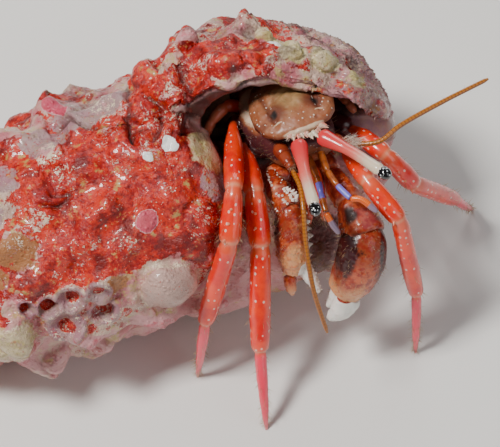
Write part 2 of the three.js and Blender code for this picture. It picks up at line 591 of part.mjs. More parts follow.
for (const [side, { peduncle, flagellum }] of Object.entries(ANTENNAE)) {
  const shares = [0, 0.02, 0.16, 0.3, 0.44, 0.58, 0.72, 0.86, 0.98, 1];
  const table = shares.map((share, i) => [share, FLAGELLUM_HALF_WIDTH * (i % 9 === 0 ? 0.6 : 1)]);
  const stem = rod(peduncle, ANTENNA_BASE_HALF_WIDTH).subtract(trunkSeat).subtract(shieldSeat);
  place(`antenna_${side}_base`, stem, COLOURS.feeler);
  const seat = rod(peduncle, ANTENNA_BASE_HALF_WIDTH, 7, JOINT_GAP);
  place(`antenna_${side}_flagellum`, rod(flagellum, table, 6).subtract(seat), COLOURS.feeler);
}

for (const [side, spine] of Object.entries(MAXILLIPEDS)) {
  const table = [[0, 0.4], [0.1, 0.55], [0.5, 0.5], [0.85, 0.36], [1, 0.2]];
  place(`maxilliped_${side}`, rod(spine, table).subtract(trunkSeat), COLOURS.mouth);
}

place("gastropod_shell", bedded.reduce((body, seat) => body.subtract(seat), shell), COLOURS.shell, 0.6);

model.position.set(CENTRE_SHIFT[0], CENTRE_SHIFT[1], 0);
export default model;
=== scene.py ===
"""Hermit crab in an encrusted snail shell: the dressed model, its light and its camera."""

import logging
import math
from dataclasses import dataclass, field
from enum import Enum
from functools import lru_cache
from itertools import product
from typing import Callable, Iterable, Optional, Sequence, Union

import bpy
import numpy as np
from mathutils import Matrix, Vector

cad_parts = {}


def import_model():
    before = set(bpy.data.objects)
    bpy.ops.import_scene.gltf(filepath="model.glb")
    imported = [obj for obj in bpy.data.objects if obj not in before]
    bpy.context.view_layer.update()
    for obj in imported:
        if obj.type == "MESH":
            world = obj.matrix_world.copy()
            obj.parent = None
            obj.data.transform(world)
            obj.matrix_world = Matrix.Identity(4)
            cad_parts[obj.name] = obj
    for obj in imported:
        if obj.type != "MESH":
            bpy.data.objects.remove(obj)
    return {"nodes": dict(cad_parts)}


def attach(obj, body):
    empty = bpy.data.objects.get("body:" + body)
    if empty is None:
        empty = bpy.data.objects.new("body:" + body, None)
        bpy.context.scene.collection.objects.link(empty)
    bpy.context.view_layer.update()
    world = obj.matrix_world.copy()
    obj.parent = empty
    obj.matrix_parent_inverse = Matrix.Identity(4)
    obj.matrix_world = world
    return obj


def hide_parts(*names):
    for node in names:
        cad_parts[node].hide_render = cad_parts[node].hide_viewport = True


LOG = logging.getLogger("hermit_crab")
# Metres in a millimetre.
MM = 0.001
# Cells along each side of the noise's lattice.
LATTICE = 32
# Way towards the top of the stalks, the feelers and the small legs.
TUBE_TOP = (0.1, 0.35, 0.9)
# Way from this script's origin to the model's, in millimetres.
SHIFT = np.array([7.2, 2.63, 0.0])
Array = np.ndarray
Link = bpy.types.NodeSocket
Mesh = bpy.types.Mesh
Piece = bpy.types.Object


# ------------------------------------------------------------------ numbers and noise
def rows(values: Sequence[Sequence[float]]) -> Array:
    """Turns a table of numbers into an array."""
    return np.asarray(values, dtype=float)


def fade(low: float, high: float, x: Array) -> Array:
    """Eases x from 0 at low to 1 at high.

    Args:
        low: Value that maps to 0.
        high: Value that maps to 1.
        x: Values to read.

    Returns:
        The eased values.
    """
    share = np.clip((np.asarray(x, dtype=float) - low) / (high - low), 0, 1)
    return share * share * (3 - 2 * share)


def bell(offset: Array, width: float) -> Array:
    """A smooth hump, 1 where the offset is 0."""
    return np.exp(-((offset / width) ** 2))


def mound(across: Array, wide: float, along: Array, long: float) -> Array:
    """A smooth mound, 1 where both offsets are 0."""
    return np.exp(-((across / wide) ** 2 + (along / long) ** 2))


def steps_along(line: Array) -> Array:
    """Distance along a line at each of its points."""
    return np.concatenate([[0], np.cumsum(np.linalg.norm(np.diff(line, axis=0), axis=1))])


def columns_of(table: Iterable) -> tuple:
    """The columns of a table as arrays."""
    return tuple(np.array(column, dtype=float) for column in zip(*table))


def unit(vectors: Array) -> Array:
    """Scales vectors to length one."""
    return vectors / np.maximum(np.linalg.norm(vectors, axis=-1, keepdims=True), 1e-9)


class Noise:
    """Seeded lattice noise over points in millimetres."""

    def __init__(self, seed: int) -> None:
        """Fills the lattice from a seed.

        Args:
            seed: Number that the lattice is drawn from.
        """
        rng = np.random.default_rng(seed)
        self.lattice = rng.random((LATTICE, LATTICE, LATTICE))
        self.jitter = rng.random((LATTICE, LATTICE, LATTICE, 3))

    def value(self, points: Array, scale: float) -> Array:
        """Smooth noise between -1 and 1.

        Args:
            points: Rows of x, y, z.
            scale: Size of one lattice cell.

        Returns:
            One number for each point.
        """
        spot = points / scale
        base = np.floor(spot).astype(int)
        part = spot - base
        part = part * part * (3 - 2 * part)
        total = np.zeros(len(points))
        for step in product((0, 1), repeat=3):
            cell = (base + np.array(step)) % LATTICE
            share = np.where(step, part, 1 - part)
            corner = self.lattice[cell[:, 0], cell[:, 1], cell[:, 2]]
            total += corner * (share[:, 0] * share[:, 1]) * share[:, 2]
        return total * 2 - 1

    def fractal(self, points: Array, scale: float, octaves: int = 3) -> Array:
        """Sums noise of finer and finer cells, about -1 to 1.

        Args:
            points: Rows of x, y, z.
            scale: Size of the coarsest cell.
            octaves: How many finer layers are added.

        Returns:
            One number for each point.
        """
        total = np.zeros(len(points))
        for octave in range(octaves):
            total += self.value(points + 7.3 * octave, scale / 2 ** octave) * 0.5 ** octave
        return total / 1.4

    def cells(self, points: Array, scale: float) -> Array:
        """Distance to the nearest scattered seed, in cells.

        Args:
            points: Rows of x, y, z.
            scale: Average distance between seeds.

        Returns:
            One distance for each point, 0 at a seed.
        """
        spot = points / scale
        base = np.floor(spot).astype(int)
        nearest = np.full(len(points), 9.0)
        for step in product((-1, 0, 1), repeat=3):
            cell = base + np.array(step)
            at = cell % LATTICE
            seed = cell + self.jitter[at[:, 0], at[:, 1], at[:, 2]]
            nearest = np.minimum(nearest, np.linalg.norm(spot - seed, axis=1))
        return nearest


def spline(points: Array, count: int) -> Array:
    """Smooth curve through points, evenly spaced.

    Args:
        points: Rows of x, y, z that the curve passes through.
        count: How many samples to return.

    Returns:
        The samples, first and last on the end points.
    """
    if len(points) == 2:
        return points[0] + np.linspace(0, 1, count)[:, None] * (points[1] - points[0])
    padded = np.vstack([2 * points[0] - points[1], points, 2 * points[-1] - points[-2]])
    knots = np.concatenate([[0], np.cumsum(np.linalg.norm(np.diff(padded, axis=0), axis=1) ** 0.5)])
    fine = []
    for i in range(1, len(padded) - 2):
        t0, t1, t2, t3 = knots[i - 1:i + 3]
        t = np.linspace(t1, t2, 40, endpoint=i == len(padded) - 3)[:, None]
        p0, p1, p2, p3 = padded[i - 1:i + 3]
        a1 = (t1 - t) / (t1 - t0) * p0 + (t - t0) / (t1 - t0) * p1
        a2 = (t2 - t) / (t2 - t1) * p1 + (t - t1) / (t2 - t1) * p2
        a3 = (t3 - t) / (t3 - t2) * p2 + (t - t2) / (t3 - t2) * p3
        b1 = (t2 - t) / (t2 - t0) * a1 + (t - t0) / (t2 - t0) * a2
        b2 = (t3 - t) / (t3 - t1) * a2 + (t - t1) / (t3 - t1) * a3
        fine.append((t2 - t) / (t2 - t1) * b1 + (t - t1) / (t2 - t1) * b2)
    return even(np.vstack(fine), count)


def even(line: Array, count: int) -> Array:
    """Resamples a line at even steps.

    Args:
        line: Points of the line.
        count: How many points it is to have.

    Returns:
        The points, all the same distance apart.
    """
    steps = steps_along(line)
    at = np.linspace(0, steps[-1], count)
    return np.stack([np.interp(at, steps, line[:, k]) for k in range(3)], axis=1)


# ------------------------------------------------------------------ meshes
@dataclass
class Sheet:
    """Points, faces and per-point values of a mesh being built, in millimetres of the model frame."""

    points: Array
    faces: list
    values: dict = field(default_factory=dict)

    def joined(self, other: "Sheet") -> "Sheet":
        """Puts two meshes into one.

        Args:
            other: The mesh to add.

        Returns:
            A mesh with the faces and values of both.
        """
        offset = len(self.points)
        names = set(self.values) | set(other.values)
        values = {}
        for name in names:
            like = self.values.get(name, other.values.get(name))
            empty = [np.zeros((len(part.points),) + like.shape[1:]) for part in (self, other)]
            both = (self.values.get(name, empty[0]), other.values.get(name, empty[1]))
            values[name] = np.concatenate(both)
        faces = self.faces + [tuple(i + offset for i in face) for face in other.faces]
        return Sheet(np.vstack([self.points, other.points]), faces, values)

    def build(self, name: str) -> Piece:
        """Makes a Blender object in the row frame.

        Args:
            name: Name of the object.

        Returns:
            The new object, linked to the scene.
        """
        mesh = bpy.data.meshes.new(name)
        mesh.from_pydata(((self.points + SHIFT) * MM).tolist(), [], self.faces)
        mesh.update()
        for key, data in self.values.items():
            write_value(mesh, key, data)
        mesh.polygons.foreach_set("use_smooth", [True] * len(mesh.polygons))
        piece = bpy.data.objects.new(name, mesh)
        bpy.context.scene.collection.objects.link(piece)
        return piece


def write_value(mesh: Mesh, name: str, data: Array) -> None:
    """Stores one number or one vector for each point of a mesh.

    Args:
        mesh: The mesh to store it on.
        name: Name that the finish reads it by.
        data: One row for each point.
    """
    if data.ndim == 1:
        layer = mesh.attributes.new(name, "FLOAT", "POINT")
        layer.data.foreach_set("value", data.astype(np.float32))
    else:
        layer = mesh.attributes.new(name, "FLOAT_VECTOR", "POINT")
        layer.data.foreach_set("vector", data.astype(np.float32).ravel())


def read_points(mesh: Mesh) -> tuple[Array, Array]:
    """Reads the points and normals of a mesh.

    Args:
        mesh: The mesh, in metres of the row frame.

    Returns:
        Points in millimetres of the model frame, and unit normals.
    """
    count = len(mesh.vertices)
    points = np.empty(count * 3, np.float32)
    normals = np.empty(count * 3, np.float32)
    mesh.vertices.foreach_get("co", points)
    mesh.vertices.foreach_get("normal", normals)
    return points.reshape(-1, 3).astype(float) / MM - SHIFT, normals.reshape(-1, 3).astype(float)


def write_points(mesh: Mesh, points: Array) -> None:
    """Moves the points of a mesh to new places in the model frame."""
    mesh.vertices.foreach_set("co", ((points + SHIFT) * MM).astype(np.float32).ravel())
    mesh.update()


def apply_modifiers(piece: Piece) -> None:
    """Bakes an object's modifiers into its mesh.

    Args:
        piece: The piece that has them.
    """
    bpy.context.view_layer.update()
    graph = bpy.context.evaluated_depsgraph_get()
    mesh = bpy.data.meshes.new_from_object(piece.evaluated_get(graph))
    old = piece.data
    piece.modifiers.clear()
    piece.data = mesh
    bpy.data.meshes.remove(old)


def remesh(piece: Piece, voxel: float, relax: int = 2) -> None:
    """Rebuilds an object's surface in even faces.

    Args:
        piece: The object to rebuild.
        voxel: Face size in millimetres.
        relax: How many smoothing passes follow.
    """
    modifier = piece.modifiers.new("even", "REMESH")
    modifier.mode = "VOXEL"
    modifier.voxel_size = voxel * MM
    modifier.use_smooth_shade = True
    even_out = piece.modifiers.new("relax", "SMOOTH")
    even_out.iterations = relax
    even_out.factor = 0.5
    apply_modifiers(piece)
    piece.data.polygons.foreach_set("use_smooth", [True] * len(piece.data.polygons))


def grid_faces(count: int, around: int) -> list:
    """Faces of a tube of rings, with fans over both ends.

    Args:
        count: How many rings there are.
        around: How many points each ring has.

    Returns:
        The faces as tuples of point numbers; the two end points follow the rings.
    """
    faces = []
    first, end = count * around, (count - 1) * around
    for j in range(around):
        k = (j + 1) % around
        faces.append((first, k, j))
        faces.append((first + 1, end + j, end + k))
        for i in range(count - 1):
            a, b = i * around, (i + 1) * around
            faces.append((a + j, a + k, b + k, b + j))
    return faces


def ring_sheet(rings: Array, values: Optional[dict] = None) -> Sheet:
    """Skins an array of rings and closes its ends.

    Args:
        rings: Points as ring, place on the ring, x y z.
        values: Per-point values in the same order, without the two end points.

    Returns:
        The closed mesh.
    """
    count, around = rings.shape[:2]
    points = np.vstack([rings.reshape(-1, 3), rings[0].mean(0), rings[-1].mean(0)])
    full = {}
    for name, data in (values or {}).items():
        flat = data.reshape((count * around,) + data.shape[2:])
        ends = np.stack([data[0].mean(0), data[-1].mean(0)])
        full[name] = np.concatenate([flat, ends])
    sheet = Sheet(points, grid_faces(count, around), full)
    return outward(sheet)


def outward(sheet: Sheet) -> Sheet:
    """Turns the faces of a closed mesh so that they look outwards.

    Args:
        sheet: The mesh.

    Returns:
        The same mesh.
    """
    halves = [face[:3] for face in sheet.faces] + [(f[0], f[2], f[3]) for f in sheet.faces if len(f) == 4]
    corners = np.array(halves)
    a, b, c = (sheet.points[corners[:, k]] for k in range(3))
    if np.einsum("ij,ij->i", a, np.cross(b, c)).sum() < 0:
        sheet.faces = [tuple(reversed(face)) for face in sheet.faces]
    return sheet


@dataclass
class Sweep:
    """An oval drawn along a line, with half widths and half heights given along it."""

    line: Array
    half_widths: Array
    half_heights: Array
    up: Array
    around: int = 24

    def frames(self) -> tuple[Array, Array, Array]:
        """Directions at each sample of the line.

        Returns:
            Unit vectors along the line, to its side and to its top.
        """
        along = unit(np.gradient(self.line, axis=0))
        side = unit(np.cross(along, self.up))
        return along, side, np.cross(side, along)

    def sheet(self, values: Optional[dict] = None, relief: Optional[Callable] = None) -> Sheet:
        """Builds the closed tube.

        Args:
            values: Numbers along the line, spread over each ring.
            relief: Function of the points that gives a height to add.

        Returns:
            The tube, with the value "limb" holding distance along, arc and angle.
        """
        _, side, top = self.frames()
        angle = -math.pi / 2 + 2 * math.pi * (np.arange(self.around) + 0.5) / self.around
        steps = steps_along(self.line)
        aside = np.cos(angle)[None, :, None] * side[:, None]
        above = np.sin(angle)[None, :, None] * top[:, None]
        rings = self.line[:, None] + aside * self.half_widths[:, None, None]
        rings = rings + above * self.half_heights[:, None, None]
        if relief:
            rings = rings + (aside + above) * relief(rings)[..., None]
        girth = (self.half_widths + self.half_heights) / 2
        arc = (angle[None, :] - math.pi / 2) * girth[:, None]
        spread = np.ones((1, self.around))
        limb = np.stack([steps[:, None] * spread, arc, angle[None, :] * np.ones((len(steps), 1))], axis=2)
        full = {"limb": limb}
        for name, data in (values or {}).items():
            full[name] = data[:, None] * spread
        return ring_sheet(rings, full)


def oval_tube(points: Sequence, table: Sequence, up: Sequence, count: int = 40, around: int = 20) -> Sheet:
    """A smooth tube through a few points.

    Args:
        points: Points that the middle line passes through.
        table: Rows of share along, half width and, where it differs, half height.
        up: Direction towards the tube's top.
        count: How many rings it has.
        around: How many points each ring has.

    Returns:
        The closed tube.
    """
    line = spline(rows(points), count)
    share = np.linspace(0, 1, count)
    sizes = [(row[0], row[1], row[2] if len(row) > 2 else row[1]) for row in table]
    at, wide, high = columns_of(sizes)
    widths = ease_table(share, at, wide)
    heights = ease_table(share, at, high)
    tube = Sweep(line, widths, heights, rows(up), around)
    return tube.sheet({"share": share})


def ease_table(x: Array, at: Array, values: Array) -> Array:
    """Reads a table between its rows without corners, never past its values.

    Args:
        x: Where to read.
        at: Places of the rows.
        values: Values of the rows.

    Returns:
        One value for each place.
    """
    fine = np.linspace(at[0], at[-1], 200)
    raw = np.interp(fine, at, values)
    kernel = np.hanning(15)
    padded = np.concatenate([np.full(7, raw[0]), raw, np.full(7, raw[-1])])
    smooth = np.convolve(padded, kernel / kernel.sum(), "valid")
    ends = np.minimum(1, np.minimum(fine - at[0], at[-1] - fine) / (0.06 * (at[-1] - at[0]) + 1e-9))
    return np.interp(x, fine, raw * (1 - ends) + smooth * ends)


# ------------------------------------------------------------------ finishes
class Value:
    """A shader socket that can be used in arithmetic."""

    def __init__(self, paint: "Paint", socket: Link) -> None:
        """Wraps a socket of a finish."""
        self.paint = paint
        self.socket = socket

    def _math(self, operation: str, first: "Term", second: "Term") -> "Value":
        """Adds one Math node."""
        return self.paint.node("ShaderNodeMath", {"operation": operation}, {0: first, 1: second})

    def __add__(self, other: "Term") -> "Value":
        """Sum."""
        return self._math("ADD", self, other)

    __radd__ = __add__

    def __sub__(self, other: "Term") -> "Value":
        """Difference."""
        return self._math("SUBTRACT", self, other)

    def __rsub__(self, other: "Term") -> "Value":
        """Difference the other way round."""
        return self._math("SUBTRACT", other, self)

    def __mul__(self, other: "Term") -> "Value":
        """Product."""
        return self._math("MULTIPLY", self, other)

    __rmul__ = __mul__

    def __truediv__(self, other: "Term") -> "Value":
        """Quotient."""
        return self._math("DIVIDE", self, other)

    def least(self, other: "Term") -> "Value":
        """The smaller of two values."""
        return self._math("MINIMUM", self, other)

    def most(self, other: "Term") -> "Value":
        """The larger of two values."""
        return self._math("MAXIMUM", self, other)

    def wave(self) -> "Value":
        """Sine of this value."""
        return self._math("SINE", self, 0.0)

    def between(self, low: float, high: float) -> "Value":
        """Eases from 0 at low to 1 at high.

        Args:
            low: Value that maps to 0.
            high: Value that maps to 1.

        Returns:
            The eased value.
        """
        settings = {"interpolation_type": "SMOOTHSTEP"}
        flip = low > high
        low, high = min(low, high), max(low, high)
        eased = self.paint.node("ShaderNodeMapRange", settings, {0: self, 1: low, 2: high, 3: 0.0, 4: 1.0})
        return 1 - eased if flip else eased


Term = Union[Value, float]
Colour = tuple[float, float, float]


def srgb(red: int, green: int, blue: int) -> Colour:
    """Turns display levels of 0 to 255 into linear light."""
    levels = [c / 255 for c in (red, green, blue)]
    return tuple(c / 12.92 if c <= 0.04045 else ((c + 0.055) / 1.055) ** 2.4 for c in levels)


class Paint:
    """A node material with one Principled shader."""

    def __init__(self, name: str, **constants: float) -> None:
        """Makes the material.

        Args:
            name: Name of the material.
            constants: Inputs of the shader that are the same all over, spaces as underscores.
        """
        self.material = bpy.data.materials.new(name)
        self.material.use_nodes = True
        self.tree = self.material.node_tree
        self.shader = next(n for n in self.tree.nodes if n.type == "BSDF_PRINCIPLED")
        for key, number in constants.items():
            self.shader.inputs[key.replace("_", " ")].default_value = number

    def node(self, kind: str, settings: dict, inputs: dict, output: Union[int, str] = 0) -> Value:
        """Adds a node.

        Args:
            kind: The node's type.
            settings: Properties, set before the inputs; a ramp's stops under "stops".
            inputs: Values or links by socket name or number.
            output: Which output to return.

        Returns:
            The chosen output.
        """
        made = self.tree.nodes.new(kind)
        for key, setting in settings.items():
            if key == "stops":
                ramp = made.color_ramp
                while len(ramp.elements) < len(setting):
                    ramp.elements.new(0.5)
                for element, (place, colour) in zip(ramp.elements, setting):
                    element.position = place
                    element.color = (*colour, 1)
            else:
                setattr(made, key, setting)
        for key, item in inputs.items():
            socket = made.inputs[key]
            if isinstance(item, Value):
                self.tree.links.new(item.socket, socket)
            else:
                socket.default_value = item
        return Value(self, made.outputs[output])

    def value(self, name: str) -> Value:
        """A number stored on the mesh."""
        return self.node("ShaderNodeAttribute", {"attribute_name": name}, {}, "Fac")

    def vector(self, name: str) -> Value:
        """A vector stored on the mesh."""
        return self.node("ShaderNodeAttribute", {"attribute_name": name}, {}, "Vector")

    def parts(self, vector: Value) -> tuple[Value, Value, Value]:
        """The three numbers of a vector.

        Args:
            vector: The vector.

        Returns:
            Its x, y and z.
        """
        made = self.tree.nodes.new("ShaderNodeSeparateXYZ")
        self.tree.links.new(vector.socket, made.inputs[0])
        return tuple(Value(self, made.outputs[k]) for k in range(3))

    def place(self) -> Value:
        """The point's place on the object, in metres."""
        return self.node("ShaderNodeTexCoord", {}, {}, "Object")

    def noise(self, size: float, detail: float = 3.0, rough: float = 0.55,
              at: Optional[Value] = None) -> Value:
        """Cloudy noise from 0 to 1.

        Args:
            size: Size of its blotches in millimetres.
            detail: How many finer layers it has.
            rough: How strong the finer layers are.
            at: Vector to draw it over, in metres, or the object's own space.

        Returns:
            The noise.
        """
        inputs = {"Vector": at or self.place(), "Scale": 1 / (size * MM), "Detail": detail,
                  "Roughness": rough}
        return self.node("ShaderNodeTexNoise", {}, inputs)

    def spots(self, size: float, at: Optional[Value] = None, unit_size: float = MM,
              spread: float = 1.0) -> Value:
        """Distance to the nearest of many scattered spots, in spot spacings.

        Args:
            size: Spacing of the spots.
            at: Vector to draw them over.
            unit_size: Metres in one unit of the spacing.
            spread: How irregularly they are scattered, 0 to 1.

        Returns:
            The distance, 0 in the middle of a spot.
        """
        inputs = {"Vector": at or self.place(), "Scale": 1 / (size * unit_size), "Randomness": spread}
        return self.node("ShaderNodeTexVoronoi", {}, inputs, "Distance")

    def mix(self, share: Term, first: Union[Value, Colour], second: Union[Value, Colour]) -> Value:
        """Blends two colours.

        Args:
            share: 0 for the first colour, 1 for the second.
            first: A colour.
            second: A colour.

        Returns:
            The blend.
        """
        ends = [item if isinstance(item, Value) else (*item, 1.0) for item in (first, second)]
        settings = {"data_type": "RGBA"}
        return self.node("ShaderNodeMix", settings, {0: share, 6: ends[0], 7: ends[1]}, 2)

    def combine(self, x: Term, y: Term, z: Term) -> Value:
        """Makes a vector of three numbers."""
        return self.node("ShaderNodeCombineXYZ", {}, {0: x, 1: y, 2: z})

    def feed(self, name: str, item: Value) -> None:
        """Links a value to one of the shader's inputs."""
        self.tree.links.new(item.socket, self.shader.inputs[name])

    def bump(self, height: Value, depth: float, strength: float = 1.0) -> None:
        """Adds fine relief.

        Args:
            height: Height from 0 to 1.
            depth: Depth of the relief in millimetres.
            strength: How strongly it shows.
        """
        inputs = {"Height": height, "Distance": depth * MM, "Strength": strength}
        self.feed("Normal", self.node("ShaderNodeBump", {}, inputs))

    def dress(self, piece: Piece) -> Piece:
        """Gives this finish to a piece.

        Args:
            piece: The piece.

        Returns:
            The same piece.
        """
        piece.data.materials.clear()
        piece.data.materials.append(self.material)
        return piece


@dataclass(frozen=True)
class ShellFinish:
    """Wet, crusted shell: mottled red algae over pale lime, with smooth pale and violet places, and painted
    shade in its hollows, creases and mouth.
    """

    deep: Colour = srgb(88, 2, 4)
    red: Colour = srgb(164, 2, 3)
    orange: Colour = srgb(208, 40, 10)
    pale: Colour = srgb(204, 172, 154)
    olive: Colour = srgb(186, 166, 92)
    green: Colour = srgb(190, 176, 108)
    rose: Colour = srgb(190, 108, 114)
    pink: Colour = srgb(206, 62, 92)
    lavender: Colour = srgb(150, 116, 126)
    tan: Colour = srgb(168, 108, 64)
    cream: Colour = srgb(236, 216, 186)
    blush: Colour = srgb(206, 148, 150)
    smooth: Colour = srgb(196, 158, 146)
    white: Colour = srgb(244, 242, 238)
    # Painted shade of the hollows, the creases and the mouth.
    dark: Colour = srgb(58, 22, 18)
    inner: Colour = srgb(164, 132, 122)

    def paint(self) -> Paint:
        """Builds the finish.

        Returns:
            The finish, which reads the values that the shell stores on its points.
        """
        p = Paint("crusted_shell", Coat_Roughness=0.07, Coat_IOR=1.4)
        red, cream, green = p.parts(p.vector("crust_a"))
        violet, rose, tan = p.parts(p.vector("crust_b"))
        # The second value of crust_c, hollow, is how much painted shade falls on each point.
        white, hollow, inner = p.parts(p.vector("crust_c"))
        fine, middle = p.noise(0.5, 4, 0.7), p.noise(1.3, 4, 0.65)
        broad, film, grit = p.noise(3.4, 3, 0.6), p.noise(2.2, 5, 0.7), p.noise(0.16, 2, 0.6)
        wander = (fine - 0.5) * 1.2 + (middle - 0.5)
        ground = p.mix(broad.between(0.4, 0.58), self.rose, self.pale)
        ground = p.mix((middle + grit * 0.3).between(0.66, 0.76) * 0.7, ground, self.olive)
        ground = p.mix((film * 0.7 + fine * 0.3).between(0.55, 0.6) * 0.85, ground, self.red)
        ground = p.mix((violet + wander).between(0.4, 0.6) * 0.7, ground, self.lavender)
        speck = p.noise(0.34, 3, 0.7)
        stains = (speck * 0.5 + film * 0.5).between(0.55, 0.6)
        ground = p.mix(stains * violet * 0.7, ground, self.red)
        ground = p.mix((tan + wander).between(0.4, 0.6), ground, self.tan)
        crust = p.mix((speck * 0.45 + film * 0.55).between(0.43, 0.55), self.red, self.orange)
        crust = p.mix((broad * 0.6 + middle * 0.4).between(0.51, 0.4) * 0.8, crust, self.deep)
        crust = p.mix((speck * 0.7 + fine * 0.3).between(0.46, 0.37) * 0.55, crust, self.deep)
        crust = p.mix((speck * 0.5 + middle * 0.5).between(0.57, 0.64) * 0.6, crust, self.olive)
        crust = p.mix((film * 0.5 + middle * 0.5).between(0.57, 0.64) * 0.75, crust, self.olive)
        colour = p.mix((red + wander).between(0.38, 0.5), ground, crust)
        crumbs = (fine * 0.5 + grit * 0.42 + (broad - 0.5) * 0.3 + cream * 0.13).between(0.56, 0.61)
        colour = p.mix(crumbs * 0.9, colour, p.mix(middle.between(0.42, 0.6), self.cream, self.blush))
        colour = p.mix(p.spots(0.7).between(0.13, 0.07) * film.between(0.5, 0.56), colour, self.white)
        dots = p.spots(0.4).between(0.2, 0.12) * fine.between(0.45, 0.6) * 0.7
        plain = p.mix(dots, self.smooth, self.orange)
        colour = p.mix((cream + (fine - 0.5) * 0.3).between(1.0, 1.12), colour, plain)
        leaf = p.mix(middle.between(0.42, 0.6) * 0.6, self.green, self.cream)
        colour = p.mix((green + wander).between(0.35, 0.75) * 0.85, colour, leaf)
        colour = p.mix((film * 0.6 + fine * 0.4).between(0.54, 0.6) * green * 0.8, colour, self.red)
        bloom = p.mix((rose + (fine - 0.5) * 0.4).between(0.95, 1.1), self.blush, self.pink)
        colour = p.mix((rose + wander * 0.4).between(0.4, 0.55) * 0.9, colour, bloom)
        # Painted shade in the hollows, the creases and the mouth.
        colour = p.mix((hollow + (fine - 0.5) * 0.6).between(0.35, 0.95) * 0.8, colour, self.dark)
        colour = p.mix((white + (fine - 0.5) * 0.3).between(0.45, 0.55), colour, self.white)
        lining = p.mix((fine * 0.5 + broad * 0.5).between(0.42, 0.58), self.inner, self.lavender)
        colour = p.mix(inner, colour, lining)
        # Painted shade on the inner wall of the mouth.
        colour = p.mix((hollow * inner).between(0.4, 0.95) * 0.9, colour, self.dark)
        p.feed("Base Color", colour)
        p.feed("Roughness", grit * 0.25 + 0.32)
        p.feed("Coat Weight", (film.between(0.45, 0.6) * 0.6 + 0.2) * (1 - violet * 0.4).most(0.3))
        grains = p.spots(0.42).between(0.5, 0.05) * (1 - red * 0.7).most(0.0)
        relief = speck * 0.7 + fine * 0.3 + grit * 0.25 + crumbs * 0.2 + grains * 0.45
        p.bump(relief * (1 - inner * 0.8), 0.2, 0.85)
        return p


@dataclass(frozen=True)
class LegFinish:
    """Glossy leg plates with rows of pale dots, pale joints and a pink toe."""

    deep: Colour = srgb(228, 8, 0)
    bright: Colour = srgb(252, 62, 6)
    joint: Colour = srgb(236, 96, 60)
    cream: Colour = srgb(232, 156, 118)
    toe: Colour = srgb(250, 64, 90)
    toe_tip: Colour = srgb(234, 120, 128)
    dot: Colour = srgb(246, 206, 188)
    plum: Colour = srgb(78, 26, 30)

    def paint(self) -> Paint:
        """Builds the finish.

        Returns:
            The finish, which reads where a point lies along its leg.
        """
        p = Paint("leg_plates", Roughness=0.3, Coat_Roughness=0.08, Subsurface_Weight=0.06,
                  Subsurface_Scale=0.0006)
        along, arc, _ = p.parts(p.vector("limb"))
        joint = p.value("joint")
        ring = p.value("ring")
        toe = p.value("toe")
        fine = p.noise(0.5, 3, 0.6)
        broad = p.noise(2.2, 2, 0.5)
        colour = p.mix((broad + (fine - 0.5) * 0.4).between(0.3, 0.7), self.deep, self.bright)
        colour = p.mix((joint + (fine - 0.5) * 0.35).between(0.15, 1.0) * 0.85, colour, self.joint)
        where = p.combine(along, arc * 1.25, 0.0)
        dots = p.spots(0.82, where, 1.0, 0.4)
        small = p.spots(0.5, where, 1.0, 0.9)
        dotted = dots.between(0.2, 0.14) * (1 - toe)
        dotted = dotted.most(small.between(0.1, 0.07) * 0.5 * (1 - toe))
        colour = p.mix(dotted * 0.85, colour, self.dot)
        rose = p.mix((toe + (fine - 0.5) * 0.1).between(0.75, 1.0), self.toe, self.toe_tip)
        colour = p.mix(toe.between(0.02, 0.12), colour, rose)
        colour = p.mix(ring * 0.75, colour, self.cream)
        colour = p.mix((p.value("root") + (fine - 0.5) * 0.5).between(0.3, 0.7), colour, self.plum)
        p.feed("Base Color", colour)
        p.feed("Coat Weight", 0.75 - ring * 0.5)
        p.bump(fine * 0.5 + dotted * 0.6, 0.03, 0.6)
        return p


@dataclass(frozen=True)
class ClawFinish:
    """Mottled brown claws that pale towards white, chalky fingers, with painted shade down the sides of the
    palm and at the wrist.
    """

    brown: Colour = srgb(150, 42, 20)
    amber: Colour = srgb(200, 92, 48)
    # Dark brown of the painted shade on the hand, and of the arm's less pale places.
    dark: Colour = srgb(52, 12, 14)
    black: Colour = srgb(14, 8, 8)
    tan: Colour = srgb(216, 150, 98)
    streak: Colour = srgb(216, 178, 148)
    white: Colour = srgb(240, 236, 228)
    violet: Colour = srgb(122, 72, 92)

    def paint(self) -> Paint:
        """Builds the finish.

        Returns:
            The finish, which reads the claw's stored values.
        """
        p = Paint("claw_plates", Coat_Roughness=0.1, Subsurface_Weight=0.05, Subsurface_Scale=0.0006)
        pale, chalk, shade = p.parts(p.vector("claw"))
        violet, ring, spot = p.parts(p.vector("claw_b"))
        fine, broad = p.noise(0.4, 4, 0.65), p.noise(1.6, 3, 0.6)
        grain = p.spots(0.42)
        wander = (fine - 0.5) * 0.6 + (broad - 0.5) * 0.6
        colour = p.mix((broad * 0.5 + fine * 0.5).between(0.42, 0.6), self.brown, self.amber)
        # The shade value: painted shade on the hand; on the arm, more where it is less pale.
        colour = p.mix((shade + wander).between(0.3, 0.8), colour, self.dark)
        colour = p.mix((violet + wander).between(0.5, 1.1) * 0.4, colour, self.violet)
        tan = p.mix(fine.between(0.46, 0.62) * 0.6, self.tan, self.amber)
        colour = p.mix((pale + wander).between(0.35, 0.85), colour, tan)
        colour = p.mix((spot + (fine - 0.5) * 0.6).between(0.15, 0.95) * 0.95, colour, self.black)
        colour = p.mix(grain.between(0.12, 0.06) * 0.4 * (1 - chalk), colour, self.streak)
        colour = p.mix(ring * 0.7, colour, self.streak)
        colour = p.mix((chalk + (fine - 0.5) * 0.3).between(0.4, 0.62), colour, self.white)
        p.feed("Base Color", colour)
        p.feed("Roughness", chalk * 0.2 + spot * 0.25 + 0.3)
        p.feed("Coat Weight", (0.4 - chalk * 0.3 - spot * 0.5 - shade * 0.35).most(0.03))
        p.bump(grain.between(0.35, 0.0) * 0.4 + fine * 0.5, 0.03, 0.6)
        return p


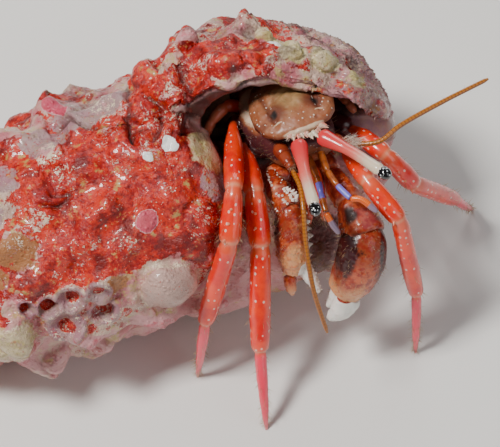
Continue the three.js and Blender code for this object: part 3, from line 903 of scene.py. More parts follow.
@dataclass(frozen=True)
class BodyFinish:
    """Shield and body: tan and olive over brown, with dark spots, pale flecks and painted shade in the
    shield's folds.
    """

    tan: Colour = srgb(152, 86, 52)
    blush: Colour = srgb(160, 104, 72)
    olive: Colour = srgb(172, 134, 88)
    # Brown of the dark spots and of the painted shade in the shield's folds.
    brown: Colour = srgb(92, 34, 18)
    black: Colour = srgb(18, 8, 8)
    plum: Colour = srgb(84, 38, 42)
    cream: Colour = srgb(216, 186, 156)
    white: Colour = srgb(240, 228, 214)

    def paint(self) -> Paint:
        """Builds the finish.

        Returns:
            The finish, which reads the body's stored values.
        """
        p = Paint("body_plates", Coat_Roughness=0.2, Subsurface_Weight=0.1, Subsurface_Scale=0.0008)
        crown, dark, margin = p.parts(p.vector("body"))
        plum, fleck, _ = p.parts(p.vector("body_b"))
        fine, broad = p.noise(0.4, 4, 0.62), p.noise(1.7, 3, 0.6)
        beads = p.spots(0.42)
        wander = (fine - 0.5) * 0.4 + (broad - 0.5) * 0.5
        colour = p.mix((broad * 0.6 + fine * 0.4).between(0.42, 0.6), self.tan, self.blush)
        colour = p.mix((crown + wander).between(0.3, 0.9), colour, self.olive)
        colour = p.mix((plum + wander).between(0.35, 0.75), colour, self.plum)
        # The dark value holds the spots and the painted shade in the folds.
        colour = p.mix((dark + wander * 0.6).between(0.12, 0.6) * 0.8, colour, self.brown)
        colour = p.mix((dark + (fine - 0.5) * 0.5).between(0.75, 1.35), colour, self.black)
        colour = p.mix(beads.between(0.22, 0.15) * fine.between(0.4, 0.56) * fleck, colour, self.white)
        colour = p.mix((margin + wander).between(0.4, 0.8), colour, self.cream)
        p.feed("Base Color", colour)
        p.feed("Roughness", fine * 0.2 + dark.least(1.0) * 0.25 + 0.38)
        p.feed("Coat Weight", (crown * 0.2 + 0.15) * (1 - dark).most(0.0))
        p.bump(fine * 0.8 + beads.between(0.35, 0.0) * fleck * 0.7, 0.08, 0.8)
        return p


@dataclass(frozen=True)
class StalkFinish:
    """Eyestalks: coral at the root, cream at the eye."""

    root: Colour = srgb(224, 52, 58)
    middle: Colour = srgb(230, 104, 92)
    end: Colour = srgb(226, 206, 178)

    def paint(self) -> Paint:
        """Builds the finish.

        Returns:
            The finish, which reads the share along the stalk.
        """
        p = Paint("eyestalk_skin", Roughness=0.26, Coat_Weight=0.6, Coat_Roughness=0.08,
                  Subsurface_Weight=0.1, Subsurface_Scale=0.0006)
        share = p.value("share")
        fine = p.noise(0.4, 3, 0.6)
        wander = (fine - 0.5) * 0.12
        colour = p.mix((share + wander).between(0.15, 0.6), self.root, self.middle)
        colour = p.mix((share + wander).between(0.5, 0.86), colour, self.end)
        p.feed("Base Color", colour)
        p.bump(fine, 0.02, 0.4)
        return p


@dataclass(frozen=True)
class EyeFinish:
    """Cornea: near black with round white dots and a ragged pale rim."""

    black: Colour = srgb(10, 10, 12)
    white: Colour = srgb(232, 236, 238)
    rim: Colour = srgb(230, 216, 196)

    def paint(self) -> Paint:
        """Builds the finish.

        Returns:
            The finish, which reads the share from rim to crown.
        """
        p = Paint("cornea", Roughness=0.08, Coat_Weight=1.0, Coat_Roughness=0.02, IOR=1.5)
        share = p.value("share")
        dots = p.spots(0.27, spread=0.35)
        fine = p.noise(0.16, 2, 0.5)
        colour = p.mix(dots.between(0.31, 0.23), self.black, self.white)
        colour = p.mix((share + (fine - 0.5) * 0.35).between(0.2, 0.14), colour, self.rim)
        p.feed("Base Color", colour)
        p.bump(p.spots(0.05), 0.004, 0.3)
        return p


@dataclass(frozen=True)
class FeelerFinish:
    """Ringed, half-clear feelers."""

    name: str
    light: Colour
    dark: Colour
    base: Colour
    tip: Colour
    ring: float = 0.34

    def paint(self) -> Paint:
        """Builds the finish.

        Returns:
            The finish, which reads the distance along the feeler.
        """
        p = Paint(self.name, Roughness=0.3, Coat_Weight=0.4, Coat_Roughness=0.1)
        along, _, angle = p.parts(p.vector("limb"))
        share = p.value("share")
        rings = (along * (2 * math.pi / self.ring)).wave() * 0.5 + 0.5
        lines = (angle * 2.0 + math.pi / 2).wave() * 0.5 + 0.5
        colour = p.mix(rings.between(0.55, 0.95) * 0.55, self.light, self.dark)
        colour = p.mix(lines.between(0.82, 0.98) * 0.6, colour, self.dark)
        colour = p.mix(share.between(0.14, 0.0), colour, self.base)
        colour = p.mix(share.between(0.8, 1.0), colour, self.tip)
        p.feed("Base Color", colour)
        p.bump(rings, 0.02, 0.5)
        return p


@dataclass(frozen=True)
class HairFinish:
    """Fine pale bristles."""

    name: str = "bristles"
    root: Colour = srgb(150, 112, 74)
    tip: Colour = srgb(214, 190, 150)

    def paint(self) -> Paint:
        """Builds the finish.

        Returns:
            The finish, which reads the share along each bristle.
        """
        p = Paint(self.name, Roughness=0.45, Specular_IOR_Level=0.4)
        share = p.value("share")
        speck = p.noise(1.2, 2, 0.5)
        p.feed("Base Color", p.mix((share + (speck - 0.5) * 0.5).between(0.0, 0.9), self.root, self.tip))
        return p


PALE_HAIRS = HairFinish("pale_bristles", srgb(206, 170, 150), srgb(246, 236, 222))


@lru_cache(maxsize=None)
def painted(finish: Union[HairFinish, LegFinish]) -> Paint:
    """Builds a finish the first time that it is asked for, and shares it after that.

    Args:
        finish: The finish.

    Returns:
        Its material.
    """
    return finish.paint()


def settle(piece: Piece, slot: str, *nodes: str) -> Piece:
    """Hands a finished piece to the frame.

    Args:
        piece: The piece, already in its place.
        slot: Material slot of the record; not used.
        nodes: Names of the plain solids that it stands in for.

    Returns:
        The piece.
    """
    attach(piece, "root")
    if nodes:
        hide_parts(*nodes)
    LOG.info("%s: %d faces", piece.name, len(piece.data.polygons))
    return piece


# ------------------------------------------------------------------ shell
class Growth(Enum):
    """What grows on the shell, or lies in shadow."""

    SMOOTH = "calm crust"
    RED = "red crust"
    PALE = "pale knobs"
    LAVENDER = "lavender crust"
    CREAM = "cream crust"
    GREEN = "green film"
    CHIP = "sharp rose chip"
    ROSE = "rose crust"
    TAN = "tan stain"
    WHITE = "white scar"
    # Painted shade in the corner of the mouth.
    CORNER = "dark corner of the mouth"
    FLOOR = "shadow under the shell"


@dataclass
class Crust:
    """The shell's surface before its relief: the points, and where each lies."""

    points: Array
    station: Array
    angle: Array
    past: Array
    inner: Array


@dataclass
class Shell:
    """The snail shell and all that grows on it."""

    axis_point: tuple = (0, 1.5, 12.8)
    axis_station: float = 38.3
    yaw: float = 21.0
    pitch: float = 7.5
    length: float = 52.0
    growth: float = 1.5
    suture_at_lip: float = 34.0
    voxel: float = 0.19
    # Rows of distance from the apex, and of what is read there.
    outline: tuple = (
        (0, 0.9), (0.9, 3.0), (3, 5.0), (6, 7.0), (10, 8.8), (14, 9.6), (18, 10.1), (23, 11.1),
        (28, 11.4), (33, 12.0), (37, 12.5), (41, 12.4), (44, 11.4), (46, 10.3), (48.5, 8.4), (50.2, 6.2),
        (51.5, 3.8), (52, 1.5),
    )
    lip_angle: tuple = ((0, 0), (33, 0), (36, 2), (41, 8), (44, 15), (47.5, 27), (50.4, 50), (52, 62))
    columella: tuple = (
        (0, 1), (31, 1), (33, 0.88), (35, 0.66), (37, 0.34), (40, 0.17), (46, 0.2), (50, 0.5), (52, 1),
    )
    mouth: tuple = (
        (35.0, 8.6), (36.2, 10.2), (38.2, 11.0), (40.6, 11.3), (42.8, 10.7), (44.9, 10.0), (46.9, 8.8),
        (48.8, 6.8), (49.2, 4.3), (47.6, 2.7), (45.0, 1.9), (42.0, 1.8), (39.4, 2.2), (37.0, 3.6),
        (35.2, 6.2),
    )
    # Rows of distance from the apex, angle past the top, height and spread.
    knobs: tuple = (
        (36.3, -27, 1.6, 1.5), (42.3, -37, 1.5, 1.6), (42.7, -17, 1.1, 1.4), (44.2, -6, 0.9, 1.4),
        (46.8, 2, 1.2, 1.4), (49.0, 14, 0.8, 1.3), (31.6, -27, 1.2, 1.6), (33.2, -17, 0.9, 1.5),
        (33.4, -60, -2.0, 3.0), (23.1, -48, 1.6, 2.2), (25.6, -62, 0.8, 2.2), (17.6, -30, 0.9, 2.0),
        (26.7, 76, 1.5, 3.2), (12.3, 80, 1.6, 2.5), (14.9, 122, 1.7, 1.8), (18.1, 126, 1.7, 1.6),
        (18.5, 92, 0.7, 1.6), (25.3, 100, 0.7, 2.0), (32.5, 120, 0.6, 2.4), (21.5, 60, 0.5, 2.2),
        (6.5, 20, 1.0, 2.0), (8.0, 150, 1.0, 2.2), (6.0, 250, 1.1, 2.2), (13.0, 310, 0.6, 2.0),
        (20.5, 285, 1.5, 2.2), (29.0, 262, 1.6, 2.4), (35.5, 300, 1.3, 2.0), (38.5, 240, 1.6, 2.4),
        (43.5, 285, 0.6, 1.8), (46.5, 320, -0.7, 2.4), (45.0, 215, 1.1, 2.0), (30.0, 225, 1.0, 2.0),
        (14.6, 172, 1.3, 2.6), (22.6, 204, 2.5, 2.9), (37.0, 205, 2.6, 2.9), (36.6, 163, 1.6, 2.8),
        (25.2, 168, 1.1, 2.6),
    )
    ridge: tuple = (
        (31, -18), (33.4, -17), (35.6, -14), (38.1, -8), (41.7, -5), (43.6, 1), (46.8, 3), (48.8, 13),
        (51, 36),
    )
    # Rows of distance from the apex, angle, reach and, for the bosses, height.
    cups: tuple = (
        (18.2, 67, 1.25), (20.7, 66.5, 1.15), (16.3, 69, 1.1), (20.6, 80, 1.35), (17.0, 81.5, 1.5),
        (14.4, 65, 0.8),
    )
    bosses: tuple = (
        (35.8, -25, 1.25, 0.8), (31.4, -24, 1.5, 0.55), (30.2, -7, 1.35, 0.5), (30.4, 5, 1.5, 0.4),
        (33.1, -7, 1.0, 0.4), (32.4, 5, 0.9, 0.35), (26.7, 76, 2.9, 0.6), (12.4, 75, 2.4, 0.5),
        (31.6, 53, 1.8, 0.3), (26.8, 43, 0.95, 0.12), (31.1, 15, 0.8, 0.2), (28.9, 16.5, 0.5, 0.16),
        (34.0, 22, 2.1, 0.14), (24.0, -36, 1.6, 0.3), (42.4, -15, 1.1, 0.4), (44.0, -3, 1.2, 0.4),
        (46.8, 4, 1.1, 0.4), (15.6, 113, 1.5, 0.4), (19.3, 115, 1.4, 0.4), (15.3, 34, 1.8, 0.2),
        (38.2, -3, 1.3, 0.35), (40.6, -4, 1.0, 0.35), (36.9, -60, 1.6, 0.4), (41.5, -75, 1.8, 0.4),
        (46.5, -50, 1.2, 0.3),
    )
    creases: tuple = (
        ((22.6, -26), (23.6, -20), (25.3, -10), (27.6, -2), (30.1, 3)),
        ((29.5, -32), (29.6, -12), (29.0, -3), (28.5, 7)),
        ((30.9, -17), (31.7, -7), (31.1, 3), (30.0, 9)),
        ((34.4, -25), (34.7, -12), (34.2, -2), (33.3, 8)),
        ((35.2, 2), (38.2, 6), (41.5, 8), (44.0, 14), (47.0, 26)),
        ((20.2, 14), (21.4, 18), (20.2, 22), (18.9, 18)),
        ((16.5, 96), (21.0, 101), (26.0, 108), (32.0, 118)),
    )
    # Rows of distance from the apex, angle, reach and, where it isn't 1, strength.
    growths: dict = field(default_factory=lambda: {
        Growth.SMOOTH: (
            (26.7, 76, 2.9), (12.3, 80, 2.2), (31.6, 53, 1.9), (34.0, 24, 2.4), (33.8, 38, 1.8),
            (15.3, 34, 2.2, 0.6),
        ),
        Growth.RED: (
            (31.6, 53, 1.9, 1.5), (31.4, -25, 1.9, 1.2), (30.2, -7, 1.6, 1.2), (45.0, -12, 0.9),
            (44.6, -28, 1.5, 0.8), (39.5, -22, 1.6, 0.8), (33.4, 6, 1.3, 1.2),
        ),
        Growth.PALE: ((26.7, 76, 3.1, 1.3), (12.3, 80, 2.6, 1.3), (33.4, -17, 0.9, 0.9)),
        Growth.LAVENDER: (
            (24.6, -24, 3.2), (28.0, -20, 2.0), (33.8, 38, 1.9), (21.0, -16, 2.2), (17.0, -4, 1.4, 0.8),
            (14.0, 12, 1.4, 0.8),
        ),
        Growth.CREAM: (
            (33.2, -8, 1.1), (32.6, 1, 1.0), (28.8, -10, 0.8), (31.0, 9, 0.7), (36.0, -34, 2.0),
            (26.5, -30, 1.6), (40.0, -40, 2.2), (21.0, -6, 1.2), (18.3, 24, 1.2),
        ),
        Growth.GREEN: (
            (34.0, 22, 2.3, 0.85), (12.3, 80, 2.6, 0.7), (43.0, -14, 1.5), (44.2, -3, 1.5),
            (47.0, 3, 1.6), (49.0, 13, 1.1), (11.0, 84, 2.0, 0.7), (36.0, -27, 0.9, 0.7),
        ),
        Growth.CHIP: ((26.8, 43, 0.9, 3.0),),
        Growth.ROSE: (
            (23.3, -34, 1.2, 2.4), (36.4, -27, 1.5), (18.6, 95, 1.6), (25.0, 104, 2.4), (30.0, 112, 2.4),
        ),
        Growth.TAN: ((15.3, 34, 1.9), (13.0, 46, 1.2), (41.0, 112, 3.5), (22.0, 66, 1.2)),
        Growth.WHITE: ((31.1, 15, 0.75), (28.9, 16.5, 0.4), (43.3, -9, 0.6)),
        # Painted shade in the corner of the mouth, and painted shadow where the shell meets the floor.
        Growth.CORNER: ((36.2, 4, 2.8), (34.8, 13, 1.8)),
        Growth.FLOOR: ((41.3, 109, 3.4, 0.85), (42.0, 116, 3.0, 0.7)),
    })
    noise: Noise = field(default_factory=lambda: Noise(11))

    def __post_init__(self) -> None:
        """Works out the shell's own directions."""
        yaw, pitch = math.radians(self.yaw), math.radians(self.pitch)
        level = math.cos(pitch)
        self.along = np.array([level * math.cos(yaw), level * math.sin(yaw), math.sin(pitch)])
        self.front = unit(np.cross(self.along, [0, 0, 1.0]))
        self.top = np.cross(self.front, self.along)

    def point(self, station: Array, angle: Array, radius: Array) -> Array:
        """Turns shell distances and angles into points.

        Args:
            station: Distance from the apex along the axis.
            angle: Degrees past the top, towards the crab.
            radius: Distance from the axis.

        Returns:
            Points of the model frame.
        """
        turn = np.radians(angle)
        spot = np.array(self.axis_point, dtype=float)
        spot = spot + np.multiply.outer(np.asarray(station, float) - self.axis_station, self.along)
        spot = spot + np.asarray(radius * np.cos(turn))[..., None] * self.top
        return spot + np.asarray(radius * np.sin(turn))[..., None] * self.front

    def measure(self, points: Array) -> tuple[Array, Array, Array]:
        """Turns points into shell distances and angles, the other way round from point().

        Args:
            points: Rows of x, y, z.

        Returns:
            Station, angle and distance from the axis of each.
        """
        away = points - np.array(self.axis_point, dtype=float)
        up, ahead = away @ self.top, away @ self.front
        return self.axis_station + away @ self.along, np.degrees(np.arctan2(ahead, up)), np.hypot(up, ahead)

    def read(self, table: tuple, x: Array) -> Array:
        """Reads a table smoothly.

        Args:
            table: Rows of place and value.
            x: Where to read.

        Returns:
            One value for each place.
        """
        at, values = columns_of(table)
        fine = np.linspace(at[0], at[-1], 521)
        raw = np.interp(fine, at, values)
        kernel = np.hanning(21)
        padded = np.concatenate([np.full(10, raw[0]), raw, np.full(10, raw[-1])])
        smooth = np.convolve(padded, kernel / kernel.sum(), "valid")
        return np.interp(x, fine, smooth)

    def knob_height(self, station: Array, angle: Array, radius: Array) -> Array:
        """Height of the large knobs over places on the shell.

        Args:
            station: Distances from the apex.
            angle: Degrees past the top.
            radius: Distances from the axis.

        Returns:
            One height for each place.
        """
        height = np.zeros(np.shape(station))
        for at, turn, knob, spread in self.knobs:
            across = self.around(angle, turn, radius)
            height = height + knob * np.exp(-1.1 * ((station - at) ** 2 + across ** 2) / spread ** 2)
        return height

    @staticmethod
    def around(angle: Array, start: Array, radius: Array) -> Array:
        """Signed way round the shell from one angle to another, in millimetres."""
        return np.radians((angle - start + 540) % 360 - 180) * radius

    def ridge_height(self, station: Array, angle: Array, radius: Array) -> Array:
        """Height of the ridge along the lip and of the ledge under the crust.

        Args:
            station: Distances from the apex.
            angle: Degrees past the top.
            radius: Distances from the axis.

        Returns:
            One height for each place.
        """
        line = np.interp(station, *zip(*self.ridge))
        crest = 0.9 * fade(31.5, 34, station) * bell(self.around(angle, line, radius), 1.15)
        under = self.around(angle, 86 + 1.7 * (station - 16), radius)
        span = fade(14, 17, station) * fade(36, 31, station)
        return crest + 0.8 * span * np.exp(-(under ** 2))

    @staticmethod
    def lumps(points: Array) -> Array:
        """Rounded lumps of the crust, between about -1.5 and 1.5.

        Args:
            points: Rows of x, y, z.

        Returns:
            One height for each point.
        """
        x, y, z = (points[..., k] for k in range(3))
        k = 2 * math.pi / 5.4
        u, v, w = (k * (a + 0.7 * np.sin(f * b + p)) for a, b, f, p in ((x, y, 0.41, 1.3), (y, z, 0.37, 0.4),
                                                                        (z, x, 0.45, 2.1)))
        return np.sin(u) * np.cos(v) + np.sin(v) * np.cos(w) + np.sin(w) * np.cos(u)

    def radius(self, station: Array, past_lip: Array) -> Array:
        """Outer wall of the shell.

        Args:
            station: Distance from the apex.
            past_lip: Degrees on from the lip's edge, 0 to 360.

        Returns:
            Distance from the axis.
        """
        angle = past_lip + self.read(self.lip_angle, station)
        share = self.read(self.columella, station)
        rise = fade(52, 118, past_lip)
        last = self.suture_at_lip * self.growth ** (past_lip / 360 - 1)
        back = np.maximum(0, np.ceil(np.log(last / np.maximum(station, 1)) / math.log(self.growth)))
        suture = last / self.growth ** back
        after = np.where(back > 0, suture * self.growth, self.length)
        place = np.maximum(0, station - suture) / (np.minimum(after, suture * self.growth) - suture)
        swell = 0.05 * np.sin(math.pi * np.minimum(1, place * 1.6)) - 0.045 * bell(place, 0.12)
        radius = self.read(self.outline, station) * (share + (1 - share) * rise) * (1 + swell * rise)
        under_legs = bell(station - 32.5, 7) * bell(angle - 82, 34)
        base = radius - 3.3 * under_legs * rise
        cover = np.where(station > self.suture_at_lip, rise, 1)
        lumps = 0.34 * (1 - under_legs) * self.lumps(self.point(station, angle, base))
        knobs = self.knob_height(station, angle, radius) + self.ridge_height(station, angle, radius)
        return base + (knobs + lumps) * cover

    def wall(self) -> Sheet:
        """The outer wall as a closed form, with the step of the lip.

        Returns:
            The form.
        """
        share = np.linspace(0, 1, 240)
        station = self.length * (share + 0.055 * np.sin(2 * math.pi * (share - 0.5)))
        past = np.concatenate([[0.5], np.linspace(2.0, 358.5, 299)])
        grid_s, grid_p = np.meshgrid(station, past, indexing="ij")
        angle = grid_p + self.read(self.lip_angle, grid_s)
        return ring_sheet(self.point(grid_s, angle, self.radius(grid_s, grid_p)))

    def chamber(self) -> Sheet:
        """The hollow that the crab lives in, as a closed form.

        Returns:
            The form.
        """
        outline = rows([(*spot, 0.0) for spot in (*self.mouth, self.mouth[0])])
        ring = spline(outline, 73)[:-1]
        rings = []
        for turn in np.arange(66.0, -265.0, -4.0):
            scale = self.growth ** (min(0.0, turn) / 360)
            flare = 0.4 * fade(-12, 6, turn) * fade(46, 43, ring[:, 0])
            lead = max(0.0, turn) * 0.012 + flare
            rings.append(self.point(ring[:, 0] * scale, np.full(72, turn + 6), (ring[:, 1] + lead) * scale))
        return ring_sheet(np.array(rings))

    def away(self, points: Array, station: float, angle: float, reach: float) -> Array:
        """How far points are from a place on the shell.

        Args:
            points: Rows of x, y, z.
            station: The place's distance from the apex.
            angle: Its angle.
            reach: Its reach, the unit of the answer.

        Returns:
            One distance for each point.
        """
        past = (angle - self.read(self.lip_angle, station)) % 360
        middle = self.point(station, angle, float(self.radius(np.array(station), np.array(past))))
        return np.linalg.norm(points - middle, axis=1) / reach

    def near(self, points: Array, station: float, angle: float, reach: float, amount: float = 1.0) -> Array:
        """How near points are to a place on the shell, 1 in its middle and 0 beyond its reach.

        Args:
            points: Rows of x, y, z.
            station: The place's distance from the apex.
            angle: Its angle.
            reach: Its reach in millimetres.
            amount: What takes the place of 1.

        Returns:
            One number for each point.
        """
        return amount * fade(1.25, 0.75, self.away(points, station, angle, reach))

    def strayed(self, points: Array, amount: float = 1.0, size: float = 1.9) -> Array:
        """Moves points a little, each its own way, so that outlines drawn over them are ragged.

        Args:
            points: Rows of x, y, z.
            amount: How far they stray.
            size: How far apart the ways change.

        Returns:
            The moved points.
        """
        shift = [0.75 * self.noise.fractal(points + 7.0 * k, size, 3) for k in (1, 2, 3)]
        return points + amount * np.stack(shift, 1)

    def boss_height(self, points: Array) -> Array:
        """Height of the rounded growths, each with a narrow groove round its foot.

        Args:
            points: Rows of x, y, z.

        Returns:
            One height for each point.
        """
        height = np.zeros(len(points))
        for at, turn, reach, lift in self.bosses:
            distance = self.away(points, at, turn, reach)
            dome = np.sqrt(np.maximum(1 - distance ** 2, 0))
            height += lift * (dome - 0.5 * bell(distance - 1.1, 0.13))
        return height

    def grown(self, points: Array, kind: Growth) -> Array:
        """The strongest growth of one kind at each point.

        Args:
            points: Rows of x, y, z.
            kind: Which of the growths.

        Returns:
            One number for each point.
        """
        total = np.zeros(len(points))
        for place in self.growths[kind]:
            total = np.maximum(total, self.near(points, *place))
        return total

    def line_distance(self, line: Sequence, station: Array, angle: Array, radius: Array) -> Array:
        """Distance of points to a line drawn over the shell.

        Args:
            line: Stations and angles that it passes through.
            station: Stations of the points.
            angle: Angles of the points.
            radius: Distances of the points from the axis.

        Returns:
            One distance for each point.
        """
        nearest = np.full(len(station), 99.0)
        for at, turn in spline(rows([(*spot, 0.0) for spot in line]), 60)[:, :2]:
            nearest = np.minimum(nearest, np.hypot(station - at, self.around(angle, turn, radius)))
        return nearest

    def build(self) -> Piece:
        """Makes the shell with its crust, cups and knobs.

        Returns:
            The shell piece.
        """
        shell = self.wall().build("gastropod_shell_skin")
        hollow = self.chamber().build("chamber_cutter")
        cut = shell.modifiers.new("hollow", "BOOLEAN")
        cut.operation = "DIFFERENCE"
        cut.object = hollow
        cut.solver = "MANIFOLD"
        apply_modifiers(shell)
        bpy.data.objects.remove(hollow)
        remesh(shell, self.voxel, 1)
        points, normals = read_points(shell.data)
        station, angle, radius = self.measure(points)
        past = (angle - self.read(self.lip_angle, station)) % 360
        depth = self.radius(station, past) - radius
        mouth_side = fade(33.5, 36, station) * fade(62, 40, past)
        inner = np.maximum(fade(0.6, 1.3, depth) * (past > 60), mouth_side)
        inner = np.where((past > 330) & (depth < 1.0), 0, inner)
        lip_edge = fade(4.0, 0.0, np.minimum(past, 360 - past) * np.radians(1) * radius) * (station > 34)
        smooth = self.grown(points, Growth.SMOOTH)
        rough = (1 - inner * 0.92) * (1 - smooth * 0.85)
        bent = self.strayed(points, 0.45)
        places = self.measure(bent)
        crease = np.max([bell(self.line_distance(line, *places), 0.36) for line in self.creases], axis=0)
        crease = crease * (1 - inner)
        crust = Crust(points, station, angle, past, inner)
        height = self.relief(crust) * rough
        height = height + (self.boss_height(self.strayed(points, 0.75)) - 0.6 * crease) * (1 - inner)
        sunk = mound(station - 26, 3.2, angle + 44, 20)
        shoulder = mound(station - 21.8, 1.5, angle + 37, 9)
        dip = mound(station - 41, 4.5, angle + 34, 16)
        height = height - 1.1 * sunk + 0.5 * shoulder - 0.5 * dip
        height = height + self.cup_height(points) * (1 - inner)
        height = height - 0.15 * lip_edge * (1 + self.noise.value(points, 1.1))
        moved = points + normals * height[:, None]
        moved[:, 2] = np.maximum(moved[:, 2], 0)
        write_points(shell.data, moved)
        self.colour(shell.data, crust, height, crease)
        shell.data.polygons.foreach_set("use_smooth", [True] * len(shell.data.polygons))
        ShellFinish().paint().dress(shell)
        return settle(shell, "encrusted_shell", "gastropod_shell")

    def relief(self, surface: Crust) -> Array:
        """Crust, growth lines and cords, as height in millimetres.

        Args:
            surface: The shell's surface.

        Returns:
            One height for each point.
        """
        points, station, angle, past = surface.points, surface.station, surface.angle, surface.past
        noise = self.noise
        crust = 0.32 * noise.fractal(points + 31, 2.1, 4) + 0.06 * noise.fractal(points + 3, 0.5, 2)
        nodules = 0.24 * fade(0.6, 0.05, noise.cells(self.strayed(points, 0.5), 1.7))
        beads = 0.11 * fade(0.6, 0.1, noise.cells(points + 17, 0.7))
        beads = beads * fade(-0.1, 0.3, noise.value(points, 3.1))
        flank = fade(37, 43, station) * fade(-100, -60, angle) * fade(40, 10, angle)
        lamella = np.abs(((past + 3 * noise.value(points, 3.0)) / 4.2) % 1 - 0.5) * 2
        growth = 0.24 * (1 - lamella) ** 2 * flank
        cords = 0.08 * np.sin(station * 2.4 + angle * 0.02 + noise.value(points, 4.0) * 2)
        calm = fade(12, 16, station) * fade(34, 30, station) * fade(2, 14, angle) * fade(70, 58, angle)
        calm = np.maximum(calm, 0.7 * fade(80, 92, angle) * fade(190, 150, angle))
        fuzz = 0.05 * noise.fractal(points + 71, 0.8, 3)
        hard = (crust + nodules * (1 - 0.6 * flank) + beads) * (1 - 0.55 * calm)
        return hard + fuzz + growth + cords - 0.2 + 0.1 * calm

    def cup_height(self, points: Array) -> Array:
        """Raised rims and sunk middles of the cup-shaped cells.

        Args:
            points: Rows of x, y, z.

        Returns:
            One height for each point.
        """
        bent = self.strayed(points, 0.3)
        height = np.zeros(len(points))
        for at, turn, reach in self.cups:
            middle = self.point(at, turn, float(self.radius(np.array(at), np.array(turn % 360.0))))
            distance = np.linalg.norm(bent - middle, axis=1) / reach
            height += 0.42 * bell(distance - 1, 0.3) - 0.45 * fade(0.95, 0.3, distance)
        return height

    def shadows(self, surface: Crust, points: Array, height: Array, crease: Array, mottle: Array) -> Array:
        """How much painted shade falls in the hollows, the creases and the mouth, on the lip and under the
        shell, and in patches behind the lip's ridge.

        Args:
            surface: The shell's surface.
            points: Its points, strayed.
            height: Its relief.
            crease: 1 in the creases between growths.
            mottle: Cloudy noise.

        Returns:
            One number for each point.
        """
        station, angle, past, inner = surface.station, surface.angle, surface.past, surface.inner
        hollow = np.maximum(fade(-0.15, -0.8, height) * 0.6, crease * 0.85)
        behind = fade(34, 37, station) * fade(-90, -60, angle) * fade(8, -2, angle) * (1 - inner)
        hollow = np.maximum(hollow, behind * fade(-0.1, 0.5, self.noise.fractal(points + 15, 1.5, 3)) * 0.75)
        hollow = np.maximum(hollow, fade(43, 47, station) * fade(100, 60, past) * (0.5 + 0.3 * mottle))
        hollow = np.maximum(hollow, self.grown(points, Growth.CORNER) * inner)
        # Painted shade on the inner wall and the face of the lip at its end nearer the apex.
        edge_gap = np.radians(np.minimum(past, 360 - past)) * 11.5
        left_lip = fade(42.0, 39.0, station) * fade(33.0, 34.0, station)
        hollow = np.maximum(hollow, inner * left_lip * fade(0.5, 1.6, edge_gap))
        below = self.read(self.outline, station) - self.measure(surface.points)[2]
        turned = np.abs(angle - self.read(self.lip_angle, station))
        lip_face = left_lip * fade(0.1, 0.6, below) * fade(18, 12, turned)
        hollow = np.maximum(hollow, lip_face)
        return np.maximum(hollow, self.grown(points, Growth.FLOOR))

    def colour(self, mesh: Mesh, surface: Crust, height: Array, crease: Array) -> None:
        """Stores where each growth lies, and how much painted shade falls there, for the finish to read.

        Args:
            mesh: The shell's mesh.
            surface: Its surface.
            height: Its relief.
            crease: 1 in the creases between growths.
        """
        noise = self.noise
        station, angle, past, inner = surface.station, surface.angle, surface.past, surface.inner
        straight, points = surface.points, self.strayed(surface.points)
        drift = noise.fractal(points + 60, 4.0, 3)
        mottle = noise.fractal(points + 90, 2.2, 3)
        bed = fade(14, 19, station) * fade(39, 35, station)
        bed = bed * fade(-32, -14, angle) * fade(68, 56, angle)
        scatter = fade(-0.12, 0.16, drift) * fade(3, 9, station)
        red = np.maximum(bed, scatter * 0.75)
        ridge = fade(2.6, 1.2, self.line_distance(self.ridge, *self.measure(points)))
        red = np.maximum(red, ridge * fade(41.5, 38.5, station))
        red = np.maximum(red, self.grown(points, Growth.RED))
        smooth_pale = self.grown(points, Growth.PALE)
        lavender = self.grown(points, Growth.LAVENDER)
        lavender = np.maximum(lavender, fade(43, 47, station) * fade(75, 110, past) * 0.55)
        cream = np.maximum(smooth_pale, fade(0.05, 0.5, mottle) * 0.55)
        cream = np.maximum(cream, self.grown(points, Growth.CREAM) * 0.95)
        cream = np.maximum(cream, fade(64, 82, angle) * fade(200, 150, angle) * 0.62)
        chipped = self.strayed(straight, 0.5, 0.75)
        green = self.grown(points, Growth.GREEN)
        rose = 0.75 * fade(0.22, 0.5, noise.fractal(points + 121, 3.2, 3)) * (1 - np.maximum(bed, ridge))
        rose = np.maximum(rose, self.grown(chipped, Growth.CHIP))
        rose = np.maximum(rose, self.grown(points, Growth.ROSE))
        tan = self.grown(points, Growth.TAN)
        # Brown over the flank near the lip: partly the shell's own colour, partly painted shade.
        tan = np.maximum(tan, fade(41, 46, station) * fade(70, 100, past) * 0.35)
        white = self.grown(chipped, Growth.WHITE)
        # Painted shade in the hollows, the creases and the mouth.
        hollow = self.shadows(surface, points, height, crease, mottle)
        stripes = fade(0.6, 0.95, np.sin(past * 0.9 + 5 * noise.value(points, 3.0))) * fade(43, 46, station)
        red = np.maximum(red, stripes * fade(80, 60, past) * 0.8)
        straight = straight + (points - straight) * 0.35
        for at, turn, reach in self.cups:
            cup = self.near(straight, at, turn, reach * 0.55)
            wall = self.near(straight, at, turn, reach * 1.15)
            hollow = hollow * (1 - 0.8 * wall)
            red = np.maximum(red * (1 - wall), cup * 1.3)
            tan = np.maximum(tan * (1 - wall), cup * 0.5)
            lavender = np.maximum(lavender, wall - cup)
        red = red * (1 - np.minimum(1, smooth_pale)) * (1 - lavender * 0.75)
        red = red * (1 - np.minimum(1, rose) * 0.9)
        red = red * (1 - green * 0.75) * (1 - tan * 0.6)
        ledge = fade(84, 92, angle) * fade(190, 140, angle) * fade(10, 14, station)
        ledge = ledge * (1 - inner)
        red = red * (1 - 0.8 * ledge)
        rose = np.maximum(rose, ledge * (0.5 + 0.35 * noise.fractal(points + 44, 1.6, 3)))
        cream = cream * (1 - 0.8 * ledge)
        # Painted shade that deepens inside the mouth.
        deep = inner * fade(354, 330, past) * (past > 60)
        write_value(mesh, "crust_a", np.stack([red, cream, green], 1))
        write_value(mesh, "crust_b", np.stack([lavender, rose, tan], 1))
        write_value(mesh, "crust_c", np.stack([white, np.maximum(hollow, deep), inner], 1))


